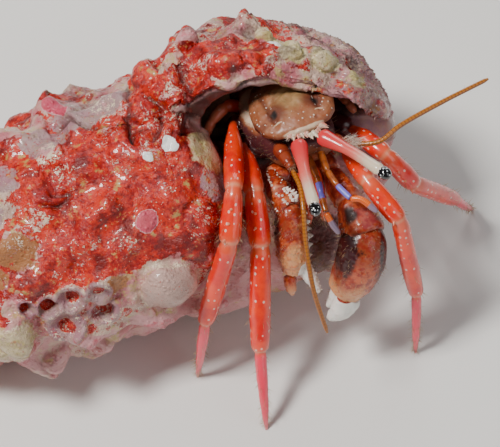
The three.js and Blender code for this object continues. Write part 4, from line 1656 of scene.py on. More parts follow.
# ------------------------------------------------------------------ limbs
def soften(data: Array, sigma: float) -> Array:
    """Smooths rows of numbers along a line and keeps the ends where they are.

    Args:
        data: The rows.
        sigma: How far the smoothing reaches, in rows.

    Returns:
        As many rows.
    """
    reach = int(sigma * 3) + 1
    if len(data) <= reach:
        return data
    kernel = np.exp(-0.5 * (np.arange(-reach, reach + 1) / sigma) ** 2)
    kernel = kernel / kernel.sum()
    wide = data if data.ndim == 2 else data[:, None]
    padded = np.vstack([2 * wide[0] - wide[reach:0:-1], wide, 2 * wide[-1] - wide[-2:-reach - 2:-1]])
    smooth = np.stack([np.convolve(padded[:, k], kernel, "valid") for k in range(wide.shape[1])], axis=1)
    return smooth if data.ndim == 2 else smooth[:, 0]


@dataclass
class Coat:
    """Bristles gathered for one piece, each with its root's place on the unwrapped skin."""

    name: str
    thickness: float = 0.022
    finish: HairFinish = HairFinish()
    bristles: list = field(default_factory=list)

    def add(self, root: Array, way: Array, length: float, place: tuple) -> None:
        """Adds one bristle.

        Args:
            root: Where it starts.
            way: Where it points.
            length: Its length in millimetres.
            place: Its root's place on the unwrapped skin, 0 to 1 both ways.
        """
        self.bristles.append((root, way, length, place))

    def scatter(self, line: Array, first: int, each: int, pull: Array, out: float, lengths: tuple,
                rng: np.random.Generator) -> None:
        """Adds bristles all round a line.

        Args:
            line: The line.
            first: The first of its points that bears bristles.
            each: How many each point bears.
            pull: Way that they lean.
            out: How far from the line they start.
            lengths: Shortest and longest, in millimetres.
            rng: Source of the random draws.
        """
        for i in range(first, len(line)):
            for _ in range(each):
                way = unit(rng.normal(0, 1, 3) + pull)
                self.add(line[i] + way * out, way, rng.uniform(*lengths), (i / len(line), rng.random()))

    def build(self) -> Optional[Piece]:
        """Makes the tufts as one mesh with its own small patches of UV.

        Returns:
            The coat, or nothing where no bristle was added.
        """
        if not self.bristles:
            return None
        rng = np.random.default_rng(len(self.bristles))
        shares = np.array([0, 0.35, 0.7])
        points, faces, share, uvs = [], [], [], []
        for root, way, length, place in self.bristles:
            way = unit(np.asarray(way, float) + rng.normal(0, 0.16, 3))
            side = unit(np.cross(way, [0.3, 0.5, 0.81]))
            other = np.cross(way, side)
            bend = rng.normal(0, 0.12, 3) * length
            start = len(points)
            for at in shares:
                middle = root + way * length * (at - 0.04) + bend * at * at
                for turn in (0, 2.094, 4.189):
                    reach = self.thickness * (1 - at * 0.75)
                    points.append(middle + (math.cos(turn) * side + math.sin(turn) * other) * reach)
                    share.append(at)
            points.append(root + way * length + bend)
            share.append(1.0)
            for i in range(2):
                for j in range(3):
                    a, b = start + i * 3, start + i * 3 + 3
                    k = (j + 1) % 3
                    faces.append((a + j, a + k, b + k, b + j))
            faces += [(start + 6 + j, start + 6 + (j + 1) % 3, start + 9) for j in range(3)]
            uvs += [(place, at, turn) for at in (0, 0.35, 0.7) for turn in range(3)]
        places = np.array(points)
        places[:, 2] = np.maximum(places[:, 2], 0.01)
        piece = Sheet(places, faces, {"share": np.array(share)}).build(self.name)
        layer = piece.data.uv_layers.new(name="OFBake")
        flat = []
        for face, (place, at, turn) in zip(faces, uvs):
            high = at + 0.35 if len(face) == 4 else 1.0
            corners = [(turn, at), (turn + 1, at), (turn + 1, high), (turn, high)][:len(face)]
            flat += [(place[0] + x * 0.001, place[1] + y * 0.003) for x, y in corners]
        layer.data.foreach_set("uv", np.clip(np.array(flat), 0, 1).astype(np.float32).ravel())
        painted(self.finish).dress(piece)
        return piece


# Share along a plate, and how full the plate is there.
PLATE = ((0, 0.74), (0.08, 0.93), (0.35, 1.0), (0.65, 1.07), (0.88, 1.02), (0.965, 0.93), (1, 0.76))
TOE = ((0, 0.74), (0.08, 0.95), (0.35, 1.0), (0.7, 0.86), (0.9, 0.62), (1, 0.34))


@dataclass
class Limb:
    """A jointed limb drawn as one skin over its plates."""

    name: str
    joints: Sequence
    sizes: Sequence
    bow: float = 0.0
    toe: bool = True
    around: int = 30
    seed: int = 1
    bumps: float = 0.02
    step: float = 0.06

    def __post_init__(self) -> None:
        """Lays out the middle line and the sizes along it."""
        joints, sizes = rows(self.joints), rows(self.sizes)
        lines, wide, high, plate, share = [], [], [], [], []
        last = len(joints) - 2
        for i in range(last + 1):
            middle = (joints[i] + joints[i + 1]) / 2
            is_toe = self.toe and i == last
            if is_toe:
                middle = middle + np.array([0, -self.bow, self.bow * 0.6])
            count = max(8, int(np.linalg.norm(joints[i + 1] - joints[i]) / self.step))
            lines.append(spline(np.array([joints[i], middle, joints[i + 1]]), count))
            at = np.linspace(0, 1, count)
            full = np.interp(at, *zip(*(TOE if is_toe else PLATE)))
            if self.toe and i == 1:
                full = full * (0.5 + 0.5 * fade(0, 0.4, at))
            root, tip = (0.7, 0.62) if is_toe else (1.0, 1.0)
            start, stop = sizes[i] * root, sizes[i + 1] * tip
            wide.append((start[0] + (stop[0] - start[0]) * at) * full)
            high.append((start[1] + (stop[1] - start[1]) * at) * full)
            plate.append(np.full(count, i))
            share.append(at)
        pick = slice(None, None, 3)
        self.line = soften(np.vstack(lines), 5.0)[pick]
        self.wide = soften(np.concatenate(wide), 1.6)[pick]
        self.high = soften(np.concatenate(high), 1.6)[pick]
        self.plate = np.concatenate(plate)[pick]
        self.share = np.concatenate(share)[pick]
        self.steps = steps_along(self.line)
        self.sweep = Sweep(self.line, self.wide, self.high, np.array([0.15, -0.75, 0.6]), self.around)
        starts = np.array([self.steps[self.plate == i][0] for i in range(1, last + 1)])
        past = self.steps[:, None] - starts
        self.gap = np.min(np.abs(past), axis=1)
        self.before = np.min(np.where(past < 0, -past, 9), axis=1)

    def relief(self, rings: Array) -> Array:
        """Fine unevenness of the plates.

        Args:
            rings: Points of the skin, ring by ring.

        Returns:
            One height for each point.
        """
        noise = Noise(self.seed)
        flat = rings.reshape(-1, 3)
        rough = noise.fractal(flat, 0.9, 3) * self.bumps * 1.4
        grain = fade(0.45, 0.1, noise.cells(flat, 0.5)) * self.bumps
        return (rough + grain).reshape(rings.shape[:2])

    def sheet(self) -> Sheet:
        """The skin as a closed mesh with the values that its finish reads.

        Returns:
            The skin.
        """
        toe = self.share * 0
        if self.toe:
            toe = np.where(self.plate == self.plate.max(), 0.03 + 0.97 * self.share, 0.0)
        values = {
            "joint": bell(self.gap, 0.85),
            "ring": fade(0.24, 0.14, self.before) * fade(0.0, 0.08, self.before),
            "toe": toe,
            "root": fade(0.5, -0.3, self.steps - self.steps[np.argmax(self.plate > 0)]),
        }
        sheet = self.sweep.sheet(values, self.relief)
        sheet.points[:, 2] = np.maximum(sheet.points[:, 2], 0)
        return sheet

    def spot(self, plate: int, share: float, angle: float) -> tuple[Array, Array, float]:
        """A place on the skin.

        Args:
            plate: Number of the plate.
            share: Share along that plate.
            angle: Angle around it in radians, a quarter turn at its top.

        Returns:
            The point, the way out of the skin and the share along the whole limb.
        """
        here = np.flatnonzero(self.plate == plate)
        i = int(here[min(len(here) - 1, int(share * len(here)))])
        _, side, top = self.sweep.frames()
        aside, above = math.cos(angle) * side[i], math.sin(angle) * top[i]
        way = unit(aside * self.high[i] + above * self.wide[i])
        point = self.line[i] + aside * self.wide[i] + above * self.high[i]
        return point, way, self.steps[i] / self.steps[-1]

    def bristle(self, coat: Coat, count: int, lengths: tuple, plates: Sequence[int],
                low: float = 0.0) -> None:
        """Scatters bristles over some plates, thicker near the joints and towards the toe.

        Args:
            coat: Where the bristles are gathered.
            count: How many there are.
            lengths: Shortest and longest, in millimetres.
            plates: Numbers of the plates that bear them.
            low: Share of them kept off the upper side.
        """
        rng = np.random.default_rng(self.seed + 50)
        for _ in range(count):
            plate = int(rng.choice(plates))
            share = rng.beta(1.6, 0.9)
            angle = rng.uniform(0, 2 * math.pi)
            if rng.random() < low:
                angle = -math.pi / 2 + rng.normal(0, 0.75)
            root, way, along = self.spot(plate, share, angle)
            i = int(np.searchsorted(self.steps, along * self.steps[-1]))
            ahead = self.sweep.frames()[0][min(i, len(self.line) - 1)]
            if root[2] < 0.25:
                continue
            length = rng.uniform(*lengths)
            coat.add(root, way * 0.75 + ahead * 0.7, length, (along, (angle / (2 * math.pi)) % 1))


def thorn(root: Array, way: Array, length: float, half: float, values: dict, around: int = 8) -> Sheet:
    """A small cone with a rounded tip that stands on a skin.

    Args:
        root: Middle of its foot.
        way: Where it points.
        length: Its length.
        half: Half its width at the foot.
        values: Value of each name that its finish reads.
        around: How many sides it has.

    Returns:
        The closed cone.
    """
    way = unit(way)
    side = unit(np.cross(way, [0.31, 0.52, 0.8]))
    other = np.cross(way, side)
    turn = np.linspace(0, 2 * math.pi, around, endpoint=False)
    rings = []
    for at, full in ((-0.2, 1.25), (0.05, 1.05), (0.3, 0.74), (0.6, 0.46), (0.85, 0.24), (1.0, 0.08)):
        spin = np.cos(turn)[:, None] * side + np.sin(turn)[:, None] * other
        rings.append(root + way * length * at + spin * half * full)
    spread = {name: np.ones((6, around) + np.shape(item)) * item for name, item in values.items()}
    return ring_sheet(np.array(rings), spread)


@dataclass
class WalkingLegs:
    """The four long walking legs."""

    finish: LegFinish = field(default_factory=LegFinish)
    # Joints from root to toe, half width and half height at each, and how far the toe bows.
    limbs: dict = field(default_factory=lambda: {
        "leg2_right": (
            (
                (1.7, -0.3, 16.4), (-0.7, -0.3, 17.5), (0.4, -6.2, 18.4), (0.9, -9.6, 15.0),
                (0.9, -15.0, 6.4), (1.5, -19.4, 0),
            ),
            ((0.8, 0.85), (0.85, 0.95), (0.95, 1.1), (1.0, 0.95), (0.85, 0.8), (0.55, 0.32)),
            0.35,
        ),
        "leg3_right": (
            (
                (0.7, 1.6, 16.4), (-1.5, 1.4, 18.5), (-1.4, -7.6, 20.7), (-1.8, -11.0, 17.5),
                (-4.0, -13.3, 8.3), (-4.8, -13.8, 0),
            ),
            ((0.75, 0.8), (0.8, 0.9), (0.85, 0.95), (0.95, 0.9), (0.8, 0.72), (0.52, 0.3)),
            0.3,
        ),
        "leg2_left": (
            (
                (6.9, 1.3, 17.2), (8.2, 0.0, 17.3), (10.3, -5.7, 19.3), (13.1, -8.2, 17.0),
                (15.0, -9.6, 7.3), (15.2, -11.2, 0),
            ),
            ((0.7, 0.75), (0.75, 0.85), (0.85, 0.9), (0.85, 0.85), (0.72, 0.68), (0.5, 0.3)),
            0.35,
        ),
        "leg3_left": (
            (
                (6.6, 3.3, 17.2), (8.9, 1.7, 17.4), (12.1, -1.3, 17.2), (14.7, -1.7, 13.4),
                (19.1, 1.8, 6.0), (21.2, 4.9, 0),
            ),
            ((0.7, 0.75), (0.78, 0.85), (0.85, 0.92), (0.88, 0.88), (0.72, 0.68), (0.5, 0.3)),
            0.3,
        ),
    })
    plates: tuple = ("coxa", "merus", "carpus", "propodus", "dactyl")

    def build(self) -> None:
        """Makes each leg as one skin, with its spines and its bristles."""
        paint = painted(self.finish)
        for seed, (name, (joints, sizes, bow)) in enumerate(self.limbs.items()):
            limb = Limb(name, joints, sizes, bow, seed=20 + seed)
            skin = limb.sheet()
            for point, way, length in self.spines(limb):
                values = {"limb": np.zeros(3), "joint": 0.0, "ring": 0.9, "toe": 0.0, "root": 0.0}
                skin = skin.joined(thorn(point, way, length, 0.13, values))
            piece = paint.dress(skin.build(f"{name}_skin"))
            settle(piece, "leg", *[f"{name}_{plate}" for plate in self.plates])
            coat = Coat(f"{name}_bristles")
            limb.bristle(coat, 150, (0.35, 0.9), (2, 3, 4), 0.55)
            limb.bristle(coat, 90, (0.3, 0.7), (4,), 0.2)
            settle(coat.build(), "leg")

    def spines(self, limb: Limb) -> list:
        """Small spines over the upper edge of the wrist plate.

        Args:
            limb: The leg.

        Returns:
            Root, way and length of each.
        """
        found = []
        for share, angle, length in ((0.95, 0.9, 0.42), (0.62, 1.2, 0.22), (0.35, 1.3, 0.18)):
            point, way, _ = limb.spot(2, share, angle)
            ahead = limb.line[-1] - limb.line[0]
            found.append((point, unit(way + 0.5 * unit(ahead)), length))
        return found


@dataclass
class Claw:
    """One claw-bearing leg: arm, hand with its fixed finger, and moving finger."""

    name: str
    joints: Sequence
    sizes: Sequence
    palm: Sequence
    palm_sizes: Sequence
    finger: Sequence
    finger_sizes: Sequence
    dactyl: Sequence
    dactyl_sizes: Sequence
    side: Sequence
    # Rows of share along the palm, side and length.
    teeth: Sequence = ()
    pale_from: float = 0.4
    chalk_from: float = 0.7
    dactyl_chalk: float = 1.0
    seed: int = 40
    # Rows of plate, angle around it and size.
    warts: Sequence = ()
    arm_pale: float = 0.0
    grain: float = 0.09
    eyespot: Optional[tuple] = None

    def build(self, paint: Paint) -> None:
        """Makes the arm, the hand and the moving finger.

        Args:
            paint: Finish shared by both claws.
        """
        self.arm(paint)
        self.hand(paint)
        self.moving_finger(paint)

    def arm(self, paint: Paint) -> None:
        """Arm and wrist as one skin.

        Args:
            paint: Finish shared by both claws.
        """
        limb = Limb(self.name, self.joints, self.sizes, toe=False, seed=self.seed, bumps=0.075, around=52,
                    step=0.04)
        skin = limb.sheet()
        joint = skin.values.pop("joint")
        ring = skin.values.pop("ring")
        skin.values.pop("toe")
        skin.values.pop("root")
        noise = Noise(self.seed)
        patchy = noise.fractal(skin.points, 1.6, 3)
        pale = 0.35 * joint + 0.3 * patchy + self.arm_pale * fade(0.3, 0.7, limb_share(limb, skin))
        violet = fade(0.0, 0.5, noise.fractal(skin.points + 9, 1.2, 3))
        spot = np.zeros(len(joint))
        if self.eyespot:
            away = np.linalg.norm(skin.points - rows(self.eyespot), axis=1)
            spot = fade(1.25, 0.3, away + 0.3 * noise.fractal(skin.points, 0.8, 3))
        skin.values["claw"] = np.stack([pale, ring * 0.2, 0.35 - pale], 1)
        skin.values["claw_b"] = np.stack([violet, ring * 0.5, spot], 1)
        rng = np.random.default_rng(self.seed)
        tip = {"claw": np.array([0.9, 0.55, 0.0]), "claw_b": np.zeros(3)}
        for plate, angle, size in self.warts:
            for share in np.linspace(0.15, 0.9, 6):
                point, way, _ = limb.spot(plate, float(share), angle + rng.normal(0, 0.1))
                skin = skin.joined(thorn(point, way, size * rng.uniform(0.8, 1.5), size * 0.75, tip))
        piece = paint.dress(skin.build(f"{self.name}_arm_skin"))
        settle(piece, "claw", *[f"{self.name}_{part}" for part in ("merus_base", "merus", "carpus")])
        coat = Coat(f"{self.name}_arm_bristles", 0.018)
        limb.bristle(coat, 160, (0.25, 0.6), (1, 2), 0.3)
        settle(coat.build(), "claw")

    def chain(self) -> tuple[Array, Array]:
        """Middle line of the hand from wrist to fingertip, and the share along it.

        Returns:
            The line and its shares.
        """
        line = np.vstack([spline(rows(self.palm), 60), spline(rows(self.finger), 60)[8:]])
        line = soften(line, 4.0)
        steps = steps_along(line)
        return line, steps / steps[-1]

    def hand_form(self) -> Sheet:
        """Palm and fixed finger with their teeth, as closed forms that run into each other.

        Returns:
            All the forms in one mesh.
        """
        start = rows(self.joints[-1]) * 0.74 + rows(self.joints[-2]) * 0.26
        sizes = [(0, self.palm_sizes[0][1] * 0.9, self.palm_sizes[0][2] * 0.9)]
        sizes += [(0.1 + row[0] * 0.9, row[1] * full, row[2] * full)
                  for row, full in zip(self.palm_sizes, (1.16, 1.04, 1, 1, 1))]
        palm = oval_tube((tuple(start), *self.palm), sizes, self.side, 60, 44)
        finger = oval_tube(self.finger, self.finger_sizes, self.side, 34, 28)
        body = palm.joined(finger)
        across = unit(rows(self.side))
        at, _, high = columns_of(self.palm_sizes)
        palm_line = spline(rows(self.palm), 60)
        for place, way, length in self.teeth:
            spot = palm_line[min(59, int(place * 59))] + across * way * (np.interp(place, at, high) - 0.12)
            aim = across * way + np.array([0, -0.1, 0.25])
            body = body.joined(thorn(spot, aim, length, length * 0.62, {"share": 0.0}))
        edge = spline(rows(self.finger), 30)
        at, _, high = columns_of(self.finger_sizes)
        for i in range(2, 28, 4) if self.grain > 0.05 else ():
            half = np.interp(i / 29, at, high)
            for way in (-1, 1):
                spot = edge[i] + across * way * (half - 0.08)
                aim = across * way + np.array([0, -0.2, 0.3])
                body = body.joined(thorn(spot, aim, 0.34, 0.2, {"share": 0.0}))
        body.values.clear()
        return body

    def hand(self, paint: Paint) -> None:
        """Palm and fixed finger, grained and coloured, with their bristles.

        Args:
            paint: Finish shared by both claws.
        """
        piece = self.hand_form().build(f"{self.name}_hand_skin")
        remesh(piece, 0.085, 2)
        points, normals = read_points(piece.data)
        line, share = self.chain()
        across = unit(rows(self.side))
        nearest = np.argmin(np.linalg.norm(points[:, None, :] - line[None, ::2], axis=2), axis=1) * 2
        along = share[nearest]
        lateral = np.einsum("ij,ij->i", points - line[nearest], np.broadcast_to(across, points.shape))
        noise = Noise(self.seed + 1)
        grain = fade(0.5, 0.08, noise.cells(points, 0.42))
        smooth = fade(self.chalk_from - 0.05, self.chalk_from + 0.1, along)
        lift = grain * self.grain * (1 - 0.5 * smooth) + 0.05 * noise.fractal(points, 0.9, 3) - 0.03
        write_points(piece.data, points + normals * lift[:, None])
        self.hand_colour(piece.data, along, lateral, grain, noise.fractal(points + 4, 1.3, 3))
        paint.dress(piece)
        settle(piece, "claw", f"{self.name}_palm")
        rng = np.random.default_rng(self.seed + 7)
        coat = Coat(f"{self.name}_hand_bristles", 0.018)
        for i in rng.choice(len(points), 260, replace=False):
            if points[i, 2] > 0.6:
                tip = np.array([0, -0.15, -0.5])
                angle = (math.atan2(lateral[i], 1.0) / math.pi + 0.5) % 1
                coat.add(points[i], normals[i] + tip, rng.uniform(0.2, 0.5), (along[i], angle))
        settle(coat.build(), "claw")

    def hand_colour(self, mesh: Mesh, along: Array, lateral: Array, grain: Array, patchy: Array) -> None:
        """Stores where the hand is pale, chalky or dark, and where painted shade falls, for the finish to
        read.

        Args:
            mesh: The hand's mesh.
            along: Share of the way from wrist to fingertip.
            lateral: Distance to the side of the middle line.
            grain: The raised grains.
            patchy: Cloudy noise.
        """
        reach = np.interp(along, [0, 0.5, 1], [1.6, 1.6, 0.8])
        edge = lateral / reach
        streak = bell(edge, 0.45)
        pale = fade(self.pale_from - 0.2, self.pale_from + 0.2, along) * 0.75 + streak * 0.35 + patchy * 0.4
        # Painted shade down the palm's sides and at the wrist.
        shade = fade(0.55, 1.0, np.abs(edge)) * 0.6 + fade(0.35, 0.05, along) * 0.5
        chalk = fade(self.chalk_from - 0.03, self.chalk_from + 0.06, along) + grain * 0.12
        right, left = (mound(along - at, long, edge - side, wide) for at, long, side, wide in (
            (0.22, 0.2, 0.75, 0.35), (0.14, 0.08, -0.6, 0.3)))
        dark = (right + 0.7 * left + 0.25 * patchy * (along < 0.5)) * self.dactyl_chalk
        crest = fade(0.82, 1.0, edge) * (1 - self.dactyl_chalk)
        pale = np.maximum(pale, crest)
        chalk = np.maximum(chalk, crest * 0.75)
        shade = np.maximum(shade * (1 - pale * 0.4), dark * 0.5)
        write_value(mesh, "claw", np.stack([pale * (1 - 0.8 * dark), chalk, shade], 1))
        write_value(mesh, "claw_b", np.stack([fade(0.1, 0.6, -patchy) * 0.6, dark * 0, dark * 0.16], 1))

    def moving_finger(self, paint: Paint) -> None:
        """The finger that closes on the hand, with its row of blunt teeth.

        Args:
            paint: Finish shared by both claws.
        """
        tube = oval_tube(self.dactyl, self.dactyl_sizes, self.side, 30, 26)
        line = spline(rows(self.dactyl), 20)
        inner = unit(np.array([0.0, 1.0, -0.2]))
        at, wide, _ = columns_of(self.dactyl_sizes)
        for i in range(4, 18, 3):
            half = np.interp(i / 19, at, wide)
            tube = tube.joined(thorn(line[i] + inner * (half - 0.1), inner, 0.2, 0.16, {"share": 0.5}))
        tube.values.clear()
        piece = tube.build(f"{self.name}_dactyl_skin")
        remesh(piece, 0.07, 2)
        points, normals = read_points(piece.data)
        noise = Noise(self.seed + 2)
        grain = fade(0.5, 0.1, noise.cells(points, 0.36))
        lift = grain * 0.05 + 0.03 * noise.fractal(points, 0.7, 2)
        write_points(piece.data, points + normals * lift[:, None])
        down = (line[0, 2] - points[:, 2]) / (line[0, 2] - line[-1, 2])
        chalk = self.dactyl_chalk * fade(-0.15, 0.02, down)
        zero = np.zeros(len(points))
        write_value(piece.data, "claw", np.stack([0.45 + down * 0.6, chalk, zero], 1))
        write_value(piece.data, "claw_b", np.stack([zero, zero, zero], 1))
        paint.dress(piece)
        settle(piece, "claw_finger", f"{self.name}_dactyl")


def limb_share(limb: Limb, skin: Sheet) -> Array:
    """How far each point lies along a limb's last plate.

    Args:
        limb: The limb.
        skin: Its skin.

    Returns:
        0 before that plate, and up to 1 along it.
    """
    start = limb.steps[np.argmax(limb.plate == limb.plate.max())]
    return np.clip((skin.values["limb"][:, 0] - start) / (limb.steps[-1] - start), 0, 1)


def both_claws() -> tuple[Claw, Claw]:
    """The large left claw and the small right one.

    Returns:
        The large claw, then the small one.
    """
    large = Claw(
        name="cheliped_left",
        joints=((6.4, -0.7, 16.2), (7.2, -2.6, 16.2), (8.7, -5.9, 16.6), (10.2, -8.9, 15.3)),
        sizes=((0.9, 1.0), (1.0, 1.15), (1.35, 1.5), (2.0, 2.1)),
        palm=((9.9, -9.25, 14.9), (9.7, -10.0, 13.0), (9.05, -10.4, 11.1), (8.5, -10.6, 9.8)),
        palm_sizes=((0, 1.6, 1.75), (0.1, 1.95, 2.1), (0.4, 2.2, 2.3), (0.75, 2.05, 2.05), (1, 1.7, 1.65)),
        finger=((8.5, -10.2, 10.2), (8.0, -10.3, 8.6), (7.0, -10.6, 6.9)),
        finger_sizes=((0, 1.2, 1.1), (0.4, 1.0, 0.95), (0.8, 0.6, 0.6), (1, 0.25, 0.25)),
        dactyl=((8.9, -11.5, 9.8), (8.2, -11.9, 8.4), (7.1, -12.0, 7.0)),
        dactyl_sizes=((0, 0.8, 1.0), (0.15, 1.0, 1.2), (0.5, 0.9, 1.05), (0.85, 0.55, 0.65), (1, 0.2, 0.25)),
        side=(1, 0.15, -0.3),
        pale_from=0.42,
        warts=((2, 0.5, 0.08),),
        grain=0.035,
        eyespot=(8.8, -8.1, 17.4),
    )
    small = Claw(
        name="cheliped_right",
        joints=((3.3, -2.0, 15.7), (1.8, -2.6, 15.8), (2.5, -5.2, 16.6), (3.6, -6.7, 16.4)),
        sizes=((0.8, 0.9), (0.85, 0.95), (1.0, 1.1), (1.15, 1.2)),
        palm=((3.45, -7.0, 16.0), (3.6, -7.8, 14.1), (3.75, -8.7, 12.3), (3.95, -9.3, 10.9)),
        palm_sizes=((0, 1.0, 1.0), (0.15, 1.4, 1.28), (0.5, 1.7, 1.45), (0.8, 1.6, 1.35), (1, 1.25, 1.05)),
        finger=((4.6, -9.2, 11.5), (5.4, -10.0, 10.5), (6.15, -10.7, 9.2)),
        finger_sizes=((0, 0.8, 0.75), (0.4, 0.62, 0.6), (0.8, 0.42, 0.4), (1, 0.18, 0.18)),
        dactyl=((3.5, -9.8, 10.6), (3.65, -10.4, 9.8), (3.8, -10.7, 9.0)),
        dactyl_sizes=((0, 0.5, 0.5), (0.2, 0.62, 0.6), (0.7, 0.45, 0.45), (1, 0.2, 0.2)),
        side=(1, 0.25, -0.1),
        teeth=((0.03, 1, 0.7), (0.17, 1, 0.8), (0.31, 1, 0.7), (0.45, 1, 0.8), (0.6, 1, 0.75), (0.78, 1, 0.7),
               (0.3, -1, 0.4), (0.7, -1, 0.4)),
        pale_from=0.25,
        chalk_from=0.66,
        dactyl_chalk=0.0,
        seed=44,
        warts=((1, 1.2, 0.16), (1, 2.2, 0.12), (2, 1.7, 0.16), (2, 2.3, 0.22), (2, 2.8, 0.32),
               (2, 0.6, 0.12)),
        arm_pale=0.35,
    )
    return large, small


# ------------------------------------------------------------------ body
@dataclass
class Body:
    """Shield, body, soft abdomen and the two pairs of small legs."""

    shell: Shell
    origin: tuple = (2.3, 4.4, 20.8)
    tilt: float = 14.0
    # Rows of distance ahead, half width, height of the crown and depth below.
    shield_rings: tuple = (
        (-0.25, 1.5, 0.15, 0.35), (0.3, 2.5, 0.65, 0.6), (1.6, 3.2, 1.2, 0.75), (3.2, 3.65, 1.45, 0.8),
        (4.8, 3.75, 1.35, 0.8), (6.2, 3.35, 1.0, 0.75), (7.2, 2.5, 0.6, 0.6), (7.75, 0.9, 0.2, 0.35),
    )
    # Rows of distance ahead, half width, top, bottom and drift to the right.
    trunk_rings: tuple = (
        (-6.2, 1.3, -1.8, -4.2, 3.3), (-5.6, 2.0, -1.2, -4.9, 2.9), (-4.2, 2.6, -0.5, -5.5, 2.1),
        (-2.4, 3.0, -0.1, -5.9, 1.1), (-0.7, 3.2, -0.2, -6.2, 0.4), (0.6, 3.1, -0.9, -6.3, 0.1),
        (2.4, 3.2, -1.1, -6.3, 0), (4.4, 3.3, -1.1, -6.1, 0), (6.0, 2.9, -1.1, -5.4, 0),
        (7.0, 2.1, -1.3, -4.2, 0), (7.5, 1.1, -1.8, -3.3, 0),
    )
    abdomen_turn: tuple = (42.0, 236.0)
    abdomen_sizes: tuple = (
        (0, 1.4), (0.06, 2.3), (0.25, 2.7), (0.55, 2.3), (0.85, 1.6), (0.96, 1.0), (1, 0.5),
    )
    small_legs: dict = field(default_factory=lambda: {
        "leg4_right": (((-0.6, 3.4, 18.0), (-2.0, 2.9, 18.8), (-3.3, 1.7, 18.4), (-4.1, 0.6, 17.2)), 0.62),
        "leg4_left": (((7.0, 5.0, 18.9), (8.0, 4.6, 18.6), (8.8, 3.6, 18.4), (9.4, 2.9, 17.9)), 0.55),
        "leg5_right": (((-0.9, 5.5, 18.2), (-2.0, 4.9, 19.2), (-2.9, 4.1, 19.6), (-3.1, 3.3, 19.6)), 0.4),
        "leg5_left": (((5.8, 7.2, 19.0), (7.2, 7.2, 19.4), (7.8, 6.2, 20.2)), 0.4),
    })
    small_leg_sizes: tuple = (
        (0, 0.8), (0.1, 1), (0.3, 0.95), (0.36, 0.72), (0.42, 0.9), (0.64, 0.8), (0.69, 0.6),
        (0.75, 0.76), (0.9, 0.66), (1, 0.4),
    )
    noise: Noise = field(default_factory=lambda: Noise(61))

    def __post_init__(self) -> None:
        """Works out the body's own directions."""
        lean = math.radians(self.tilt)
        self.forward = math.cos(lean) * self.shell.front + math.sin(lean) * self.shell.top
        self.left = self.shell.along
        self.upward = unit(np.cross(self.forward, self.left))

    def point(self, ahead: Array, left: Array, above: Array) -> Array:
        """Turns body distances into points."""
        spot = np.asarray(ahead)[..., None] * self.forward + np.asarray(left)[..., None] * self.left
        return np.array(self.origin) + spot + np.asarray(above)[..., None] * self.upward

    def measure(self, points: Array) -> tuple[Array, Array, Array]:
        """Turns points into body distances."""
        away = points - np.array(self.origin)
        return away @ self.forward, away @ self.left, away @ self.upward

    def build(self) -> None:
        """Makes every part of the body."""
        paint = BodyFinish().paint()
        self.shield(paint)
        self.trunk(paint)
        self.abdomen(paint)
        self.legs()

    def shield(self, paint: Paint) -> None:
        """The hard shield with its groove, pits and pimpled sides.

        Args:
            paint: Finish of the body.
        """
        at, half, crown, depth = columns_of(self.shield_rings)
        reach = (at[0] + at[-1]) / 2 - (at[-1] - at[0]) / 2 * np.cos(np.linspace(0.04, math.pi - 0.04, 130))
        across = np.concatenate([np.sin(np.linspace(-math.pi / 2, math.pi / 2, 110)),
                                 np.sin(np.linspace(math.pi / 2, -math.pi / 2, 46))[1:-1]])
        upper = np.arange(len(across)) < 110
        width, top, under = (ease_table(reach, at, column) for column in (half, crown, depth))
        squared = np.maximum(1 - across ** 2, 0)
        height = np.where(upper, top[:, None] * squared ** 0.6, -under[:, None] * (1 - 0.4 * across ** 2))
        x = reach[:, None] * np.ones_like(across)
        y = width[:, None] * across
        flat = self.point(x, y, height).reshape(-1, 3)
        groove = bell(x - (3.3 + 0.45 * np.abs(y)), 0.22) * fade(3.0, 1.2, np.abs(y))
        side = fade(1.3, 2.4, np.abs(y))
        pimples = fade(0.42, 0.08, self.noise.cells(flat, 0.55)).reshape(x.shape)
        rough = self.noise.fractal(flat, 1.3, 3).reshape(x.shape)
        pits = fade(0.34, 0.1, self.noise.cells(flat + 3, 0.8)).reshape(x.shape)
        ridge = bell(np.abs(y) - 2.15 + 0.08 * (x - 4), 0.3) * fade(2, 3, x) * fade(7, 6, x)
        folds = self.noise.fractal(flat + 21, 2.4, 4).reshape(x.shape)
        lift = 0.1 * pimples * side + 0.07 * rough + 0.2 * folds
        lift = lift - 0.16 * groove - 0.06 * pits * (1 - side) - 0.26 * ridge
        lift = np.where(upper, lift * fade(0, 0.2, squared), 0)
        rings = self.point(x, y, height + lift)
        dome = mound(x - 4.0, 2.5, y, 2.0)
        spots = 1.35 * mound(x - 5.4, 0.75, np.abs(y) - 1.9, 0.6)
        spots = np.maximum(spots, 0.62 * mound(x - 5.3, 1.15, np.abs(y) - 1.6, 1.15))
        off_mark = np.abs(y) - 1.95
        marks = mound(x - 6.25 - 0.5 * np.abs(off_mark), 0.1, off_mark, 0.5) * 1.1
        margin = np.maximum(fade(7.45, 7.7, x + 0.1 * np.abs(y)), marks)
        margin = np.maximum(margin, fade(0.3, -0.1, x) * 0.7)
        plum = 0.35 * groove
        # Painted shade in the low folds and along the sunk lines at the sides.
        fold_shade = fade(0.0, 0.35, -folds) * 0.5 + ridge * 0.55
        spots = np.maximum(spots, fold_shade * (1 - dome * 0.5))
        fleck = np.maximum(side, fade(5.6, 6.4, x) * 0.8) * fade(7.4, 7.0, x)
        zero = np.zeros_like(x)
        values = {"body": np.stack([dome, spots, margin], 2), "body_b": np.stack([plum, fleck, zero], 2)}
        piece = paint.dress(ring_sheet(rings, values).build("carapace_shield_skin"))
        settle(piece, "shield", "carapace_shield")

